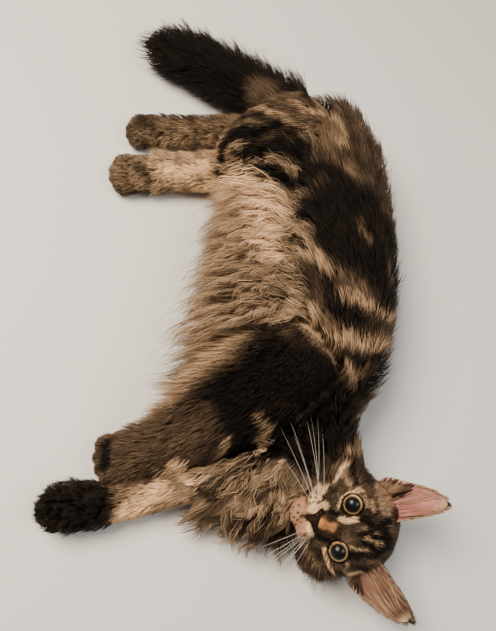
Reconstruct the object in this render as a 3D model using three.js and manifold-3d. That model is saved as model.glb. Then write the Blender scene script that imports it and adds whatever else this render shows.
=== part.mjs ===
// A young long-haired tabby cat at life size, lying on its left side with its face turned up.
// Millimetres, +Z up, with the floor at z = 0. The tail points to +Y, the head to -Y, the legs to -X.
import * as THREE from "three";
import { mergeVertices } from "three/addons/utils/BufferGeometryUtils.js";
import Module from "manifold-3d";

const wasm = await Module();
wasm.setup();

// Clearance between neighbouring nodes
const GAP = 0.35;
// Every node is cut flat where it would pass the floor
const WORLD = 2000;

// Each limb is a row of stations [x, y, z, half width, half height] of the bare body, and with them the
// depth of its coat on four sides: the side that its width points to, above, the other side, and below.
const TRUNK = {
  stations: [
    [40, 226, 50, 32, 30],
    [38, 198, 53, 46, 35],
    [32, 142, 56, 62, 40],
    [25, 84, 56, 70, 46],
    [18, 20, 56, 72, 49],
    [6, -40, 56, 70, 48],
    [-8, -92, 56, 64, 42],
    [-24, -138, 53, 52, 37],
  ],
  coat: [
    [22, 14, 16, 8],
    [22, 14, 16, 10],
    [28, 14, 22, 12],
    [64, 16, 24, 12],
    [66, 18, 22, 12],
    [66, 18, 24, 12],
    [70, 14, 26, 12],
    [84, 12, 24, 10],
  ],
  droop: 0.45,
  rings: 11,
  sides: 14,
  cap: 20,
};
const NECK = {
  stations: [
    [-22, -132, 50, 42, 34],
    [-14, -178, 47, 35, 32],
    [-2, -212, 44, 32, 30],
    [12, -240, 42, 32, 28],
  ],
  coat: [[18, 12, 16, 12]],
  rings: 6,
  sides: 12,
  cap: 14,
};
// The bib of long hair from the throat to between the forelegs
const RUFF = {
  stations: [
    [-10, -226, 44, 32, 24],
    [-52, -218, 38, 34, 26],
    [-90, -206, 30, 24, 20],
  ],
  coat: [[8, 12, 34, 12]],
  droop: 0.4,
  rings: 6,
  sides: 12,
  cap: 36,
};
const TAIL = {
  stations: [
    [34, 208, 46, 20, 18],
    [2, 240, 40, 12, 12],
    [-31, 269, 33, 9, 9],
    [-65, 296, 28, 8, 8],
    [-101, 318, 26, 7, 7],
    [-137, 338, 24, 6, 6],
    [-160, 350, 23, 5, 5],
  ],
  coat: [
    [38, 18, 24, 18],
    [48, 22, 32, 20],
    [46, 22, 32, 22],
    [42, 20, 30, 21],
    [40, 18, 27, 20],
    [34, 16, 22, 18],
    [22, 12, 16, 16],
  ],
  rings: 9,
  sides: 10,
  cap: 26,
};
// The upper foreleg from the shoulder blade to the wrist
const FORELEG_RIGHT = {
  stations: [
    [-16, -106, 82, 38, 30],
    [-62, -134, 84, 40, 31],
    [-106, -158, 68, 31, 25],
    [-144, -176, 46, 23, 20],
    [-180, -184, 31, 21, 17],
  ],
  coat: [[7, 7, 5, 4]],
  rings: 9,
  sides: 12,
  cap: 14,
};
const FORELEG_LEFT = {
  stations: [
    [-70, -198, 34, 24, 20],
    [-112, -213, 27, 20, 17],
    [-150, -222, 21, 17, 15],
    [-196, -229, 17, 16, 14],
  ],
  coat: [[4, 4, 4, 4]],
  rings: 8,
  sides: 12,
  cap: 12,
};
const THIGH_RIGHT = {
  stations: [
    [40, 184, 66, 36, 22],
    [10, 176, 80, 42, 26],
    [-28, 165, 78, 38, 25],
    [-60, 156, 67, 26, 20],
  ],
  coat: [[12, 8, 8, 5]],
  rings: 7,
  sides: 12,
  cap: 18,
};
const SHANK_RIGHT = {
  stations: [
    [-58, 158, 62, 24, 18],
    [-50, 190, 48, 18, 15],
    [-64, 209, 38, 14, 12],
    [-104, 214, 29, 12, 11],
    [-150, 216, 22, 13, 11],
  ],
  coat: [[4, 4, 4, 4]],
  rings: 9,
  sides: 10,
  cap: 8,
};
const THIGH_LEFT = {
  stations: [
    [-20, 164, 30, 28, 21],
    [-60, 152, 26, 22, 18],
  ],
  coat: [[5, 5, 5, 5]],
  rings: 3,
  sides: 12,
  cap: 14,
};
const SHANK_LEFT = {
  stations: [
    [-62, 151, 25, 22, 17],
    [-104, 153, 22, 18, 15],
    [-134, 153, 19, 17, 14],
    [-160, 152, 18, 18, 14],
  ],
  coat: [[4, 4, 4, 5]],
  rings: 8,
  sides: 12,
  cap: 8,
};
// A paw: wrist end, toe end, half width, half height, and the way that its back faces
const PAWS = {
  forepaw_right: { from: [-176, -182, 30], to: [-217, -191, 17], wide: 25, tall: 18, back: [-0.2, 0.1, 1] },
  forepaw_left: { from: [-194, -229, 16], to: [-268, -232, 17], wide: 27, tall: 18, back: [0.1, -0.5, -0.8] },
  hindpaw_right: { from: [-146, 216, 21], to: [-192, 217, 15], wide: 20, tall: 16, back: [-0.1, 0, 1] },
  hindpaw_left: { from: [-154, 152, 18], to: [-210, 151, 16], wide: 24, tall: 17, back: [0, 0, 1] },
};
// Share of the coat's depth that a limb's core fills, under its locks; below, the coat is pressed flat
const CORE = 0.5;
const FULL = 1;
// Patches of locks: the node that they grow from, where they start and end along a limb and round it, how
// many each way, how far they slide towards its first station and swing round it, and their width.
// A fringe stands out from the limb with its flat side up; all others lie along it.
const BACK = { slide: 52, swing: -0.12, wide: 36 };
const EDGE = { slide: -5, swing: -0.05, wide: 30, fringe: true };
const THROAT = { slide: 44, swing: -0.15, wide: 34 };
const BIB = { slide: -34, swing: 0.12, wide: 30 };
const BRUSH = { around: [-0.3, 3.5], columns: 4, slide: -56, swing: -0.06, wide: 29 };
const HAIR = [
  { node: "HIPS", limb: TRUNK, along: [0.2, 0.02], around: [1.0, 3.4], rows: 2, columns: 5, ...BACK },
  { node: "BELLY", limb: TRUNK, along: [0.72, 0.32], around: [-0.25, 0.5], rows: 7, columns: 2, ...EDGE },
  { node: "BELLY", limb: TRUNK, along: [0.66, 0.38], around: [0.8, 3.3], rows: 3, columns: 5, ...BACK },
  { node: "CHEST", limb: TRUNK, along: [0.99, 0.78], around: [-0.25, 0.5], rows: 4, columns: 2, ...EDGE },
  { node: "CHEST", limb: TRUNK, along: [0.96, 0.8], around: [0.9, 3.3], rows: 2, columns: 5, ...BACK },
  { node: "NECK", limb: NECK, along: [0.75, 0.4], around: [0.3, 3.3], rows: 2, columns: 3, ...THROAT },
  { node: "RUFF", limb: RUFF, along: [0.1, 1.0], around: [2.4, 3.8], rows: 4, columns: 2, ...BIB },
  { node: "RUFF", limb: RUFF, along: [0.3, 1.0], around: [0.8, 2.0], rows: 2, columns: 2, ...BIB },
  { node: "TAIL_BASE", limb: TAIL, along: [0.12, 0.4], rows: 2, ...BRUSH },
  { node: "TAIL_TIP", limb: TAIL, along: [0.54, 0.93], rows: 3, ...BRUSH },
];
const LOCK_STEPS = [0, 0.34, 0.68];
const LOCK_WIDTHS = [0.8, 1, 0.7];
const LOCK_THICK = 6;
const LOCK_SUNK = 6;
const SEED = 20861;

// The head's own frame: its middle lies between the eyes, forward is the way the face looks
const HEAD = {
  at: new THREE.Vector3(2.8, -265.1, 79.9),
  forward: new THREE.Vector3(-0.384, -0.152, 0.911).normalize(),
  up: new THREE.Vector3(0.86, -0.417, 0.293),
};
HEAD.left = new THREE.Vector3().crossVectors(HEAD.up, HEAD.forward).normalize();
HEAD.up.crossVectors(HEAD.forward, HEAD.left).normalize();
const EYE = { apart: 43, radius: 10.4, sunk: 8.2 };
// Rounded masses of the head: middle forward, up and left of the eyes, half sizes the same way, and
// how widely each melts into those before it
const HEAD_MASSES = [
  [-42, 4, 0, 42, 42, 42, 1],
  [-30, -14, 22, 26, 26, 27, 10],
  [-30, -14, -22, 26, 26, 27, 10],
  [-22, 10, 0, 18, 24, 26, 10],
  [-24, -34, 0, 26, 17, 24, 10],
  [-9, -25, 15, 19, 16, 17, 8],
  [-9, -25, -15, 19, 16, 17, 8],
  [-10, -1, 0, 12, 13, 10, 8],
  [2, -13, 0, 13, 11, 11, 7],
  [10, -23, 0, 13, 9, 10, 6],
  [5, -42, 0, 12, 10, 13, 5],
  [6, -32, 11, 15, 10, 13, 4],
  [6, -32, -11, 15, 10, 13, 4],
];
const HEAD_CENTRE = [-16, -18, 0];
const HEAD_RINGS = 15;
const HEAD_SIDES = 22;
const MUZZLE_DROP = 0.45;
// The lids are a rim round each eye, open in front
const LID = { thick: 1.5, open: 8.8 };

// Ears: the middle of the base and the tip in the head's frame, half the base's width, the way the cup opens
const EARS = {
  ear_right: { base: [-37, 30, -33], tip: [-45, 83, -48], wide: 23, opens: [0.89, -0.07, -0.44] },
  ear_left: { base: [-31, 28, 38], tip: [-38, 77, 63], wide: 22, opens: [0.9, -0.07, 0.42] },
};
const EAR_THICK = 2.4;
const EAR_DEEP = 11;

const v3 = (a) => new THREE.Vector3(...a);

// A closed three.js geometry as a solid that can be joined and cut
function solid(geometry) {
  const g = geometry.index ? geometry.toNonIndexed() : geometry.clone();
  const bare = new THREE.BufferGeometry().setAttribute("position", g.getAttribute("position"));
  const merged = mergeVertices(bare, 1e-4);
  return new wasm.Manifold(
    new wasm.Mesh({
      numProp: 3,
      vertProperties: new Float32Array(merged.attributes.position.array),
      triVerts: new Uint32Array(merged.index.array),
    }),
  );
}

// The largest closed surface of a solid, as a three.js geometry
function geometryOf(made) {
  const pieces = made.decompose().sort((a, b) => b.volume() - a.volume());
  const mesh = pieces[0].getMesh();
  return new THREE.BufferGeometry()
    .setAttribute("position", new THREE.BufferAttribute(new Float32Array(mesh.vertProperties), 3))
    .setIndex(new THREE.BufferAttribute(new Uint32Array(mesh.triVerts), 1));
}

// A closed skin over rings of points, with a point at each end
function skinOver(rings, first, last) {
  const sides = rings[0].length;
  const points = [...rings.flat(), first, last];
  const faces = [];
  for (let i = 0; i + 1 < rings.length; i++) {
    for (let j = 0; j < sides; j++) {
      const a = i * sides + j;
      const b = i * sides + ((j + 1) % sides);
      faces.push(a, b, a + sides, b, b + sides, a + sides);
    }
  }
  const start = rings.length * sides;
  for (let j = 0; j < sides; j++) {
    const k = (j + 1) % sides;
    faces.push(start, k, j);
    faces.push(start + 1, (rings.length - 1) * sides + j, (rings.length - 1) * sides + k);
  }
  return new THREE.BufferGeometry().setFromPoints(points).setIndex(faces);
}

// Where a limb's axis runs, and how wide it is, at a share t of its length
function stationAt(limb, t) {
  limb.line ??= new THREE.CatmullRomCurve3(limb.stations.map((s) => v3(s.slice(0, 3))), false, "centripetal");
  limb.girth ??= new THREE.CatmullRomCurve3(limb.stations.map((s) => new THREE.Vector3(s[3], s[4], 0)));
  const along = limb.line.getTangent(t);
  const side = new THREE.Vector3().crossVectors(along, new THREE.Vector3(0, 0, 1)).normalize();
  const up = new THREE.Vector3().crossVectors(side, along).normalize();
  const girth = limb.girth.getPoint(t);
  return { at: limb.line.getPoint(t), along, side, up, wide: girth.x, tall: girth.y };
}

// A point of a limb's surface: t runs along it and past its ends over the round caps, angle round it
function limbPoint(limb, t, angle, share, grow = 0) {
  const inside = Math.min(Math.max(t, 0), 1);
  const s = stationAt(limb, inside);
  const coat = coatAt(limb, inside);
  const past = Math.min(Math.abs(t - inside) / limbCap(limb), 1);
  const shrink = Math.sqrt(1 - past * past);
  const c = Math.cos(angle);
  const n = Math.sin(angle);
  const wide = (s.wide + share * (c > 0 ? coat[0] : coat[2]) + grow) * shrink;
  const tall = (s.tall + (n > 0 ? share * coat[1] : coat[3]) + grow) * shrink;
  const drop = (limb.droop ?? 0) * share * (c > 0 ? coat[0] * c : -coat[2] * c) * shrink;
  return s.at
    .clone()
    .addScaledVector(s.along, Math.sign(t - inside) * past * (limb.cap + grow))
    .addScaledVector(s.side, wide * c)
    .addScaledVector(s.up, tall * n - drop);
}

// The depth of a limb's coat on its four sides at a share t of its length
function coatAt(limb, t) {
  const place = t * (limb.coat.length - 1);
  const low = Math.min(Math.floor(place), limb.coat.length - 1);
  const high = Math.min(low + 1, limb.coat.length - 1);
  return limb.coat[low].map((depth, k) => depth + (limb.coat[high][k] - depth) * (place - low));
}

// How far past its ends, in shares of its length, a limb's round cap runs
function limbCap(limb) {
  limb.span ??= limb.line.getLength();
  return limb.cap / limb.span;
}

// A limb as a closed tube with round ends
function limbSolid(limb, share, grow = 0) {
  stationAt(limb, 0);
  const cap = limbCap(limb);
  const turns = [];
  for (const lift of [80, 52, 24]) turns.push(-cap * Math.sin((lift * Math.PI) / 180));
  for (let i = 0; i <= limb.rings; i++) turns.push(i / limb.rings);
  for (const lift of [24, 52, 80]) turns.push(1 + cap * Math.sin((lift * Math.PI) / 180));
  const rings = turns.map((t) => {
    const ring = [];
    const step = (-2 * Math.PI) / limb.sides;
    for (let j = 0; j < limb.sides; j++) ring.push(limbPoint(limb, t, j * step, share, grow));
    return ring;
  });
  const [first, last] = [-cap, 1 + cap].map((t) => limbPoint(limb, t, 0, share, grow));
  return solid(skinOver(rings, first, last));
}

// Random numbers from 0 to 1, the same in every run
function seeded(seed) {
  let state = seed;
  return () => {
    state = (state + 0x6d2b79f5) | 0;
    let mixed = Math.imul(state ^ (state >>> 15), 1 | state);
    mixed = (mixed + Math.imul(mixed ^ (mixed >>> 7), 61 | mixed)) ^ mixed;
    return ((mixed ^ (mixed >>> 14)) >>> 0) / 4294967296;
  };
}

// A flat lock that follows a path of points, each with the way out of the body, and ends in a point
function lockSolid(path, outs, tip, wide, thick, grow) {
  const rings = path.map((at, i) => {
    const next = i + 1 < path.length ? path[i + 1] : tip;
    const along = next.clone().sub(at).normalize();
    const across = new THREE.Vector3().crossVectors(along, outs[i]).normalize();
    const out = new THREE.Vector3().crossVectors(across, along);
    const half = (wide * LOCK_WIDTHS[i]) / 2 + 6 * grow;
    const deep = thick / 2;
    return [[half, -deep - grow], [0, deep + 1.2 * grow], [-half, -deep - grow]].map(([a, b]) =>
      at.clone().addScaledVector(across, a).addScaledVector(out, b),
    );
  });
  const back = path[0].clone().lerp(path[1], -0.1);
  const end = tip.clone().addScaledVector(tip.clone().sub(path.at(-1)).normalize(), 4 * grow);
  return outward(skinOver(rings, back, end));
}

// A closed geometry as a solid, its faces turned out if they point in
function outward(geometry) {
  const tried = solid(geometry);
  if (tried.volume() > 0) return tried;
  const index = geometry.index.array;
  for (let k = 0; k < index.length; k += 3) [index[k + 1], index[k + 2]] = [index[k + 2], index[k + 1]];
  return solid(geometry);
}

// All the locks of one stretch of a limb
function locksOf(hair, grow = 0) {
  const { limb, along, around, rows, columns, slide, swing, wide } = hair;
  const random = seeded(SEED + rows * 100 + columns + Math.round(along[0] * 1000));
  limbCap(limb);
  const locks = [];
  for (let i = 0; i < rows; i++) {
    for (let j = 0; j < columns; j++) {
      const t = along[0] + ((along[1] - along[0]) * (i + 0.3 * (random() - 0.5))) / Math.max(rows - 1, 1);
      const column = j + (i % 2) * 0.5 + 0.2 * (random() - 0.5);
      const angle = around[0] + ((around[1] - around[0]) * column) / columns;
      const shift = -slide / limb.span;
      const turn = angle > 2 ? -swing * 0.5 : swing;
      const coat = coatAt(limb, Math.min(Math.max(t, 0), 1));
      const side = Math.cos(angle) > 0 ? coat[0] : coat[2];
      const depth = Math.abs(Math.cos(angle)) * side + Math.max(Math.sin(angle), 0.1) * coat[1];
      const root = CORE - LOCK_SUNK / depth;
      const reach = FULL + 0.1 * (random() - 0.6);
      const place = (step) => {
        const share = step === 0 ? root : CORE + (reach - CORE) * (0.3 + 0.7 * step);
        return limbPoint(limb, t + shift * step, angle + turn * step, share);
      };
      const path = LOCK_STEPS.map(place);
      const outs = LOCK_STEPS.map((step) => {
        const low = limbPoint(limb, t + shift * step, angle + turn * step, 0);
        const out = limbPoint(limb, t + shift * step, angle + turn * step, 1).sub(low).normalize();
        return hair.fringe ? out.cross(stationAt(limb, Math.min(Math.max(t, 0), 1)).along) : out;
      });
      locks.push(lockSolid(path, outs, place(1), wide * (0.85 + 0.3 * random()), LOCK_THICK, grow));
    }
  }
  return locks.reduce((all, lock) => all.add(lock));
}

// Half of space: all that lies on the side of a point that a direction faces
function halfSpace(at, facing) {
  const box = new THREE.BoxGeometry(WORLD, WORLD, WORLD).translate(0, 0, WORLD / 2);
  const up = new THREE.Vector3(0, 0, 1);
  const turn = new THREE.Quaternion().setFromUnitVectors(up, facing.clone().normalize());
  return solid(box.applyQuaternion(turn).translate(at.x, at.y, at.z));
}

const FLOOR = halfSpace(new THREE.Vector3(0, 0, 0), new THREE.Vector3(0, 0, 1));

// The part of a solid on the side of a plane that a direction faces, half a gap clear of the plane
function keepSide(made, at, facing, grow = 0) {
  const f = facing.clone().normalize();
  return made.intersect(halfSpace(at.clone().addScaledVector(f, GAP / 2 - grow), f));
}

// An ellipsoid with its axes turned to three directions
function egg(at, axes, radii, around, down) {
  const g = new THREE.SphereGeometry(1, around, down).scale(...radii);
  g.applyMatrix4(new THREE.Matrix4().makeBasis(...axes)).translate(at.x, at.y, at.z);
  return solid(g);
}

// From the head's frame to the cat's
function fromHead([forward, up, left]) {
  return HEAD.at
    .clone()
    .addScaledVector(HEAD.forward, forward)
    .addScaledVector(HEAD.up, up)
    .addScaledVector(HEAD.left, left);
}

// How far a point of the head's frame lies outside its rounded masses, melted together
function headField(p) {
  let field = Infinity;
  for (const [f, u, l, rf, ru, rl, melt] of HEAD_MASSES) {
    const [x, y, z] = [p[0] - f, p[1] - u, p[2] - l];
    const reach = Math.hypot(x / rf, y / ru, z / rl);
    const slope = Math.hypot(x / (rf * rf), y / (ru * ru), z / (rl * rl));
    const out = (reach * (reach - 1)) / Math.max(slope, 1e-6);
    if (field === Infinity) {
      field = out;
      continue;
    }
    const mix = Math.min(Math.max(0.5 + (out - field) / (2 * melt), 0), 1);
    field = field * mix + out * (1 - mix) - melt * mix * (1 - mix);
  }
  return field;
}

// The head's surface from its centre in one direction of its own frame
function headSurface(direction, grow = 0) {
  let near = 5;
  let far = 120;
  for (let i = 0; i < 30; i++) {
    const mid = (near + far) / 2;
    const p = HEAD_CENTRE.map((c, k) => c + direction[k] * mid);
    if (headField(p) < grow) near = mid;
    else far = mid;
  }
  return HEAD_CENTRE.map((c, k) => c + direction[k] * near);
}

// A direction of the head's frame from the angle off the muzzle's axis and the angle round it
function headDirection(off, round) {
  const f = Math.cos(off);
  const s = Math.sin(off);
  const u = s * Math.cos(round);
  const [c, n] = [Math.cos(MUZZLE_DROP), Math.sin(MUZZLE_DROP)];
  return [f * c + u * n, u * c - f * n, s * Math.sin(round)];
}

function headShell(grow = 0) {
  const rings = [];
  for (let i = 1; i < HEAD_RINGS; i++) {
    const share = i / HEAD_RINGS;
    const off = Math.PI * (0.72 * share + 0.28 * share * share);
    const ring = [];
    for (let j = 0; j < HEAD_SIDES; j++) {
      ring.push(fromHead(headSurface(headDirection(off, (j * 2 * Math.PI) / HEAD_SIDES), grow)));
    }
    rings.push(ring);
  }
  const [muzzle, nape] = [0, Math.PI].map((off) => fromHead(headSurface(headDirection(off, 0), grow)));
  return solid(skinOver(rings, muzzle, nape));
}

const HEAD_AXES = [HEAD.left, HEAD.up, HEAD.forward];

// The head with a raised rim of lid round each eye
function headWithLids(grow = 0) {
  let body = headShell(grow);
  for (const side of [-1, 1]) {
    body = body.add(eyeBall(side, LID.thick + grow)).add(lowerLip(side, grow)).add(cheekLocks(side, grow));
  }
  return body;
}

// How far forward the head reaches at a height and a side of its own frame
function headFront(up, left) {
  let near = -10;
  let far = 60;
  for (let i = 0; i < 40; i++) {
    const mid = (near + far) / 2;
    if (headField([mid, up, left]) < 0) near = mid;
    else far = mid;
  }
  return near;
}

// A thin round rod along points of the head's frame
function rodSolid(points, radius) {
  const curve = new THREE.CatmullRomCurve3(points.map(fromHead));
  const steps = points.length;
  const frames = curve.computeFrenetFrames(steps, false);
  const rings = [];
  for (let i = 0; i <= steps; i++) {
    const at = curve.getPointAt(i / steps);
    rings.push(
      Array.from({ length: 5 }, (unused, j) => {
        const a = (j * 2 * Math.PI) / 5;
        return at
          .clone()
          .addScaledVector(frames.normals[i], radius * Math.cos(a))
          .addScaledVector(frames.binormals[i], radius * Math.sin(a));
      }),
    );
  }
  return outward(skinOver(rings, curve.getPointAt(0), curve.getPointAt(1)));
}

// Points of the mouth's line on one side: [up, left] of the eyes
const MOUTH = [[-37, 0], [-39.5, 4], [-40.5, 9], [-38.5, 14], [-35, 18]];
const PHILTRUM = [[-31, 0], [-34, 0], [-38, 0]];
const GROOVE = 0.9;
const LIP = { down: 2.6, thick: 1.9 };

function onFace(line, side, lift) {
  return line.map(([up, left]) => [headFront(up, left) + lift, up, side * left]);
}

// The cuts of the mouth's line and of the groove under the nose
function mouthGrooves() {
  const sides = [-1, 1].map((side) => rodSolid(onFace(MOUTH, side, -0.2), GROOVE));
  return [...sides, rodSolid(onFace(PHILTRUM, 1, -0.1), GROOVE)];
}

// The lower lip, a soft ridge under the mouth's line
function lowerLip(side, grow) {
  const line = MOUTH.map(([up, left]) => [up - LIP.down, left]);
  return rodSolid(onFace(line, side, -LIP.thick * 0.4), LIP.thick + grow);
}

// Nose leather with its two wings and open nostrils
const NOSE = {
  at: [19.5, -26, 0],
  half: [9, 6, 6.5],
  wing: [18, -27.5, 6],
  wingHalf: [4.2, 4.4, 6],
  nostril: [24.5, -27.2, 4.4],
  nostrilHalf: [1.7, 1.2, 2.6],
};

function noseSolid(grow) {
  const flip = (side, [f, u, l]) => fromHead([f, u, side * l]);
  const size = (half) => half.map((r) => r + grow);
  let nose = egg(fromHead(NOSE.at), HEAD_AXES, size(NOSE.half), 9, 6);
  for (const side of [-1, 1]) {
    nose = nose.add(egg(flip(side, NOSE.wing), HEAD_AXES, size(NOSE.wingHalf), 7, 5));
  }
  if (grow > 0) return nose;
  for (const side of [-1, 1]) {
    nose = nose.subtract(egg(flip(side, NOSE.nostril), HEAD_AXES, NOSE.nostrilHalf, 6, 4));
  }
  return nose;
}

// Short locks of the cheeks, from below each ear to the corner of the jaw
const CHEEK = { from: [-34, 6, 1], to: [-22, -40, 0.72], count: 3, rows: 2 };
const TUFT = { long: 27, wide: 20, thick: 5, sunk: 3 };

function cheekLocks(side, grow) {
  const random = seeded(SEED + side);
  const locks = [];
  for (let row = 0; row < CHEEK.rows; row++) {
    for (let i = 0; i < CHEEK.count; i++) {
      const share = (i + 0.5 * row + 0.3 * (random() - 0.5)) / (CHEEK.count - 0.5);
      const [f, u, l] = CHEEK.from.map((value, k) => value + (CHEEK.to[k] - value) * share);
      const toward = new THREE.Vector3(f + 14 * row, u, side * 44 * l).sub(v3(HEAD_CENTRE)).normalize();
      const at = headSurface(toward.toArray());
      const spread = [-0.55, -0.35 + 0.3 * (0.5 - share), side * 0.62];
      const rootAt = at.map((v, k) => v - TUFT.sunk * toward.getComponent(k));
      const path = LOCK_STEPS.map((step) => fromHead(rootAt.map((v, k) => v + spread[k] * step * TUFT.long)));
      const tip = fromHead(at.map((v, k) => v + spread[k] * TUFT.long));
      const out = fromHead(toward.toArray()).sub(HEAD.at).normalize();
      locks.push(lockSolid(path, LOCK_STEPS.map(() => out), tip, TUFT.wide, TUFT.thick, grow));
    }
  }
  return locks.reduce((all, lock) => all.add(lock));
}

// What is open in front of an eye: the round window between its lids
function lidWindow(side) {
  const window = new THREE.CylinderGeometry(LID.open + 6, LID.open, 16, 14);
  window.rotateX(Math.PI / 2).translate(0, 0, 8);
  const turn = new THREE.Matrix4().makeBasis(...HEAD_AXES);
  const at = fromHead([-EYE.sunk + 5.2, 0, (side * EYE.apart) / 2]);
  return solid(window.applyMatrix4(turn).translate(at.x, at.y, at.z));
}

function eyeBall(side, grow = 0) {
  const r = EYE.radius + grow;
  return egg(fromHead([-EYE.sunk, 0, (side * EYE.apart) / 2]), HEAD_AXES, [r, r, r], 12, 8);
}

// An ear as a thin cup: wide and deep at its base, closing to its tip
function earSolid(ear, grow = 0) {
  const base = fromHead(ear.base);
  const tip = fromHead(ear.tip);
  const rise = tip.clone().sub(base);
  const opens = new THREE.Vector3();
  ear.opens.forEach((c, k) => opens.addScaledVector(HEAD_AXES[2 - k], c));
  opens.addScaledVector(rise, -opens.dot(rise) / rise.lengthSq()).normalize();
  const across = new THREE.Vector3().crossVectors(rise, opens).normalize();
  const rows = 7;
  const columns = 6;
  const front = [];
  const back = [];
  for (let i = 0; i <= rows; i++) {
    const t = i / rows;
    const foot = 1 - 0.45 * Math.max(0, 1 - 4.5 * t) ** 2;
    const half = ear.wide * Math.sqrt(1 - t ** 1.7) * (1 - 0.15 * t) * foot + 1.2;
    const deep = EAR_DEEP * (1 - 0.75 * t);
    const rowFront = [];
    const rowBack = [];
    for (let j = 0; j <= columns; j++) {
      const a = (j / columns) * 2 - 1;
      const p = base
        .clone()
        .addScaledVector(rise, t * 1.2 - 0.2)
        .addScaledVector(across, a * half)
        .addScaledVector(opens, -deep * (1 - a * a) + 4 * t * (1 - t));
      rowFront.push(p.clone().addScaledVector(opens, grow + EAR_THICK / 2));
      rowBack.push(p.clone().addScaledVector(opens, -grow - EAR_THICK / 2));
    }
    front.push(rowFront);
    back.push(rowBack);
  }
  const points = [...front.flat(), ...back.flat()];
  const wide = columns + 1;
  const second = front.length * wide;
  const faces = [];
  for (let i = 0; i < rows; i++) {
    for (let j = 0; j < columns; j++) {
      const a = i * wide + j;
      faces.push(a, a + 1, a + wide, a + 1, a + wide + 1, a + wide);
      const b = second + a;
      faces.push(b, b + wide, b + 1, b + 1, b + wide, b + wide + 1);
    }
  }
  const edge = [];
  for (let j = 0; j < columns; j++) edge.push(j);
  for (let i = 0; i < rows; i++) edge.push(i * wide + columns);
  for (let j = columns; j > 0; j--) edge.push(rows * wide + j);
  for (let i = rows; i > 0; i--) edge.push(i * wide);
  edge.forEach((a, k) => {
    const b = edge[(k + 1) % edge.length];
    faces.push(a, second + a, b, b, second + a, second + b);
  });
  return outward(new THREE.BufferGeometry().setFromPoints(points).setIndex(faces));
}

// A paw: a flat egg with four toes in front
function pawSolid(paw, grow = 0) {
  const from = v3(paw.from);
  const to = v3(paw.to);
  const along = to.clone().sub(from);
  const length = along.length();
  along.normalize();
  const back = v3(paw.back);
  back.addScaledVector(along, -back.dot(along)).normalize();
  const side = new THREE.Vector3().crossVectors(along, back);
  const axes = [along, back, side];
  const middle = from.clone().addScaledVector(along, length * 0.47);
  let made = egg(middle, axes, [length * 0.53 + grow, paw.tall + grow, paw.wide + grow], 9, 6);
  for (let toe = 0; toe < 4; toe++) {
    const out = (toe - 1.5) / 1.5;
    const at = from
      .clone()
      .addScaledVector(along, length * (0.88 - 0.1 * out * out))
      .addScaledVector(side, out * paw.wide * 0.66)
      .addScaledVector(back, -2);
    const half = [length * 0.2 + 2, paw.tall * 0.72, paw.wide * 0.33].map((r) => r + grow);
    made = made.add(egg(at, axes, half, 6, 4));
  }
  return made;
}

const group = new THREE.Group();

// Adds a node after cutting it clear of the floor and of what is given
function node(name, body, colour, roughness, clearOf = []) {
  let cut = body.intersect(FLOOR);
  for (const other of clearOf) cut = cut.subtract(other);
  const finish = new THREE.MeshStandardMaterial({ color: colour, roughness, metalness: 0 });
  const mesh = new THREE.Mesh(geometryOf(cut), finish);
  mesh.name = name;
  group.add(mesh);
}

const BROWN = 0x4a3a2c;
const DARK = 0x1c1512;
const CREAM = 0xb99a78;

const LEGS = { FORELEG_RIGHT, FORELEG_LEFT, THIGH_RIGHT, SHANK_RIGHT, THIGH_LEFT, SHANK_LEFT };
const LIMBS = { TRUNK, NECK, RUFF, TAIL, ...LEGS };
const HAIRY = new Set(HAIR.map((hair) => hair.limb));
const whole = {};
const clear = {};
for (const [grow, kept] of [[0, whole], [GAP, clear]]) {
  for (const [name, limb] of Object.entries(LIMBS)) {
    kept[name] = limbSolid(limb, HAIRY.has(limb) ? CORE : FULL, grow);
  }
  for (const [name, paw] of Object.entries(PAWS)) kept[name] = pawSolid(paw, grow);
  kept.head = headWithLids(grow);
  kept.nose = noseSolid(grow);
}

const toTail = new THREE.Vector3(0, 1, 0);
const toHead = new THREE.Vector3(0, -1, 0);
const hipCut = new THREE.Vector3(0, 122, 0);
const chestCut = new THREE.Vector3(0, -34, 0);
const tailCut = stationAt(TAIL, 0.45);
const tailBack = tailCut.along.clone().negate();

// The lengths of the coated limbs: a core between two cuts, to which the locks are joined
function cores(solids, grow) {
  const front = keepSide(solids.TRUNK, chestCut, toHead, grow);
  const rear = keepSide(solids.TRUNK, hipCut, toTail, grow);
  const middle = keepSide(keepSide(solids.TRUNK, hipCut, toHead, grow), chestCut, toTail, grow);
  return {
    HIPS: rear,
    BELLY: middle,
    CHEST: front,
    NECK: solids.NECK,
    RUFF: solids.RUFF,
    TAIL_BASE: keepSide(solids.TAIL, tailCut.at, tailBack, grow),
    TAIL_TIP: keepSide(solids.TAIL, tailCut.at, tailCut.along, grow),
  };
}

for (const [grow, kept] of [[0, whole], [GAP, clear]]) {
  Object.assign(kept, cores(kept, grow));
  for (const hair of HAIR) kept[hair.node] = kept[hair.node].add(locksOf(hair, grow));
}

// Head, eyes and legs keep their whole shape, and what lies round them is cut clear of them
const legs = Object.keys(LEGS).map((name) => clear[name]);
const ears = Object.values(EARS).map((ear) => earSolid(ear, GAP));
const sockets = [-1, 1].flatMap((side) => [eyeBall(side, GAP), lidWindow(side)]);
node("head", whole.head, BROWN, 0.9, [...sockets, clear.nose, ...mouthGrooves()]);
node("nose", whole.nose, 0x1a100e, 0.5);
node("eye_right", eyeBall(-1), 0x14110c, 0.15);
node("eye_left", eyeBall(1), 0x14110c, 0.15);
for (const [name, ear] of Object.entries(EARS)) node(name, earSolid(ear), 0x9a6f66, 0.8, [clear.head]);

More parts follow.
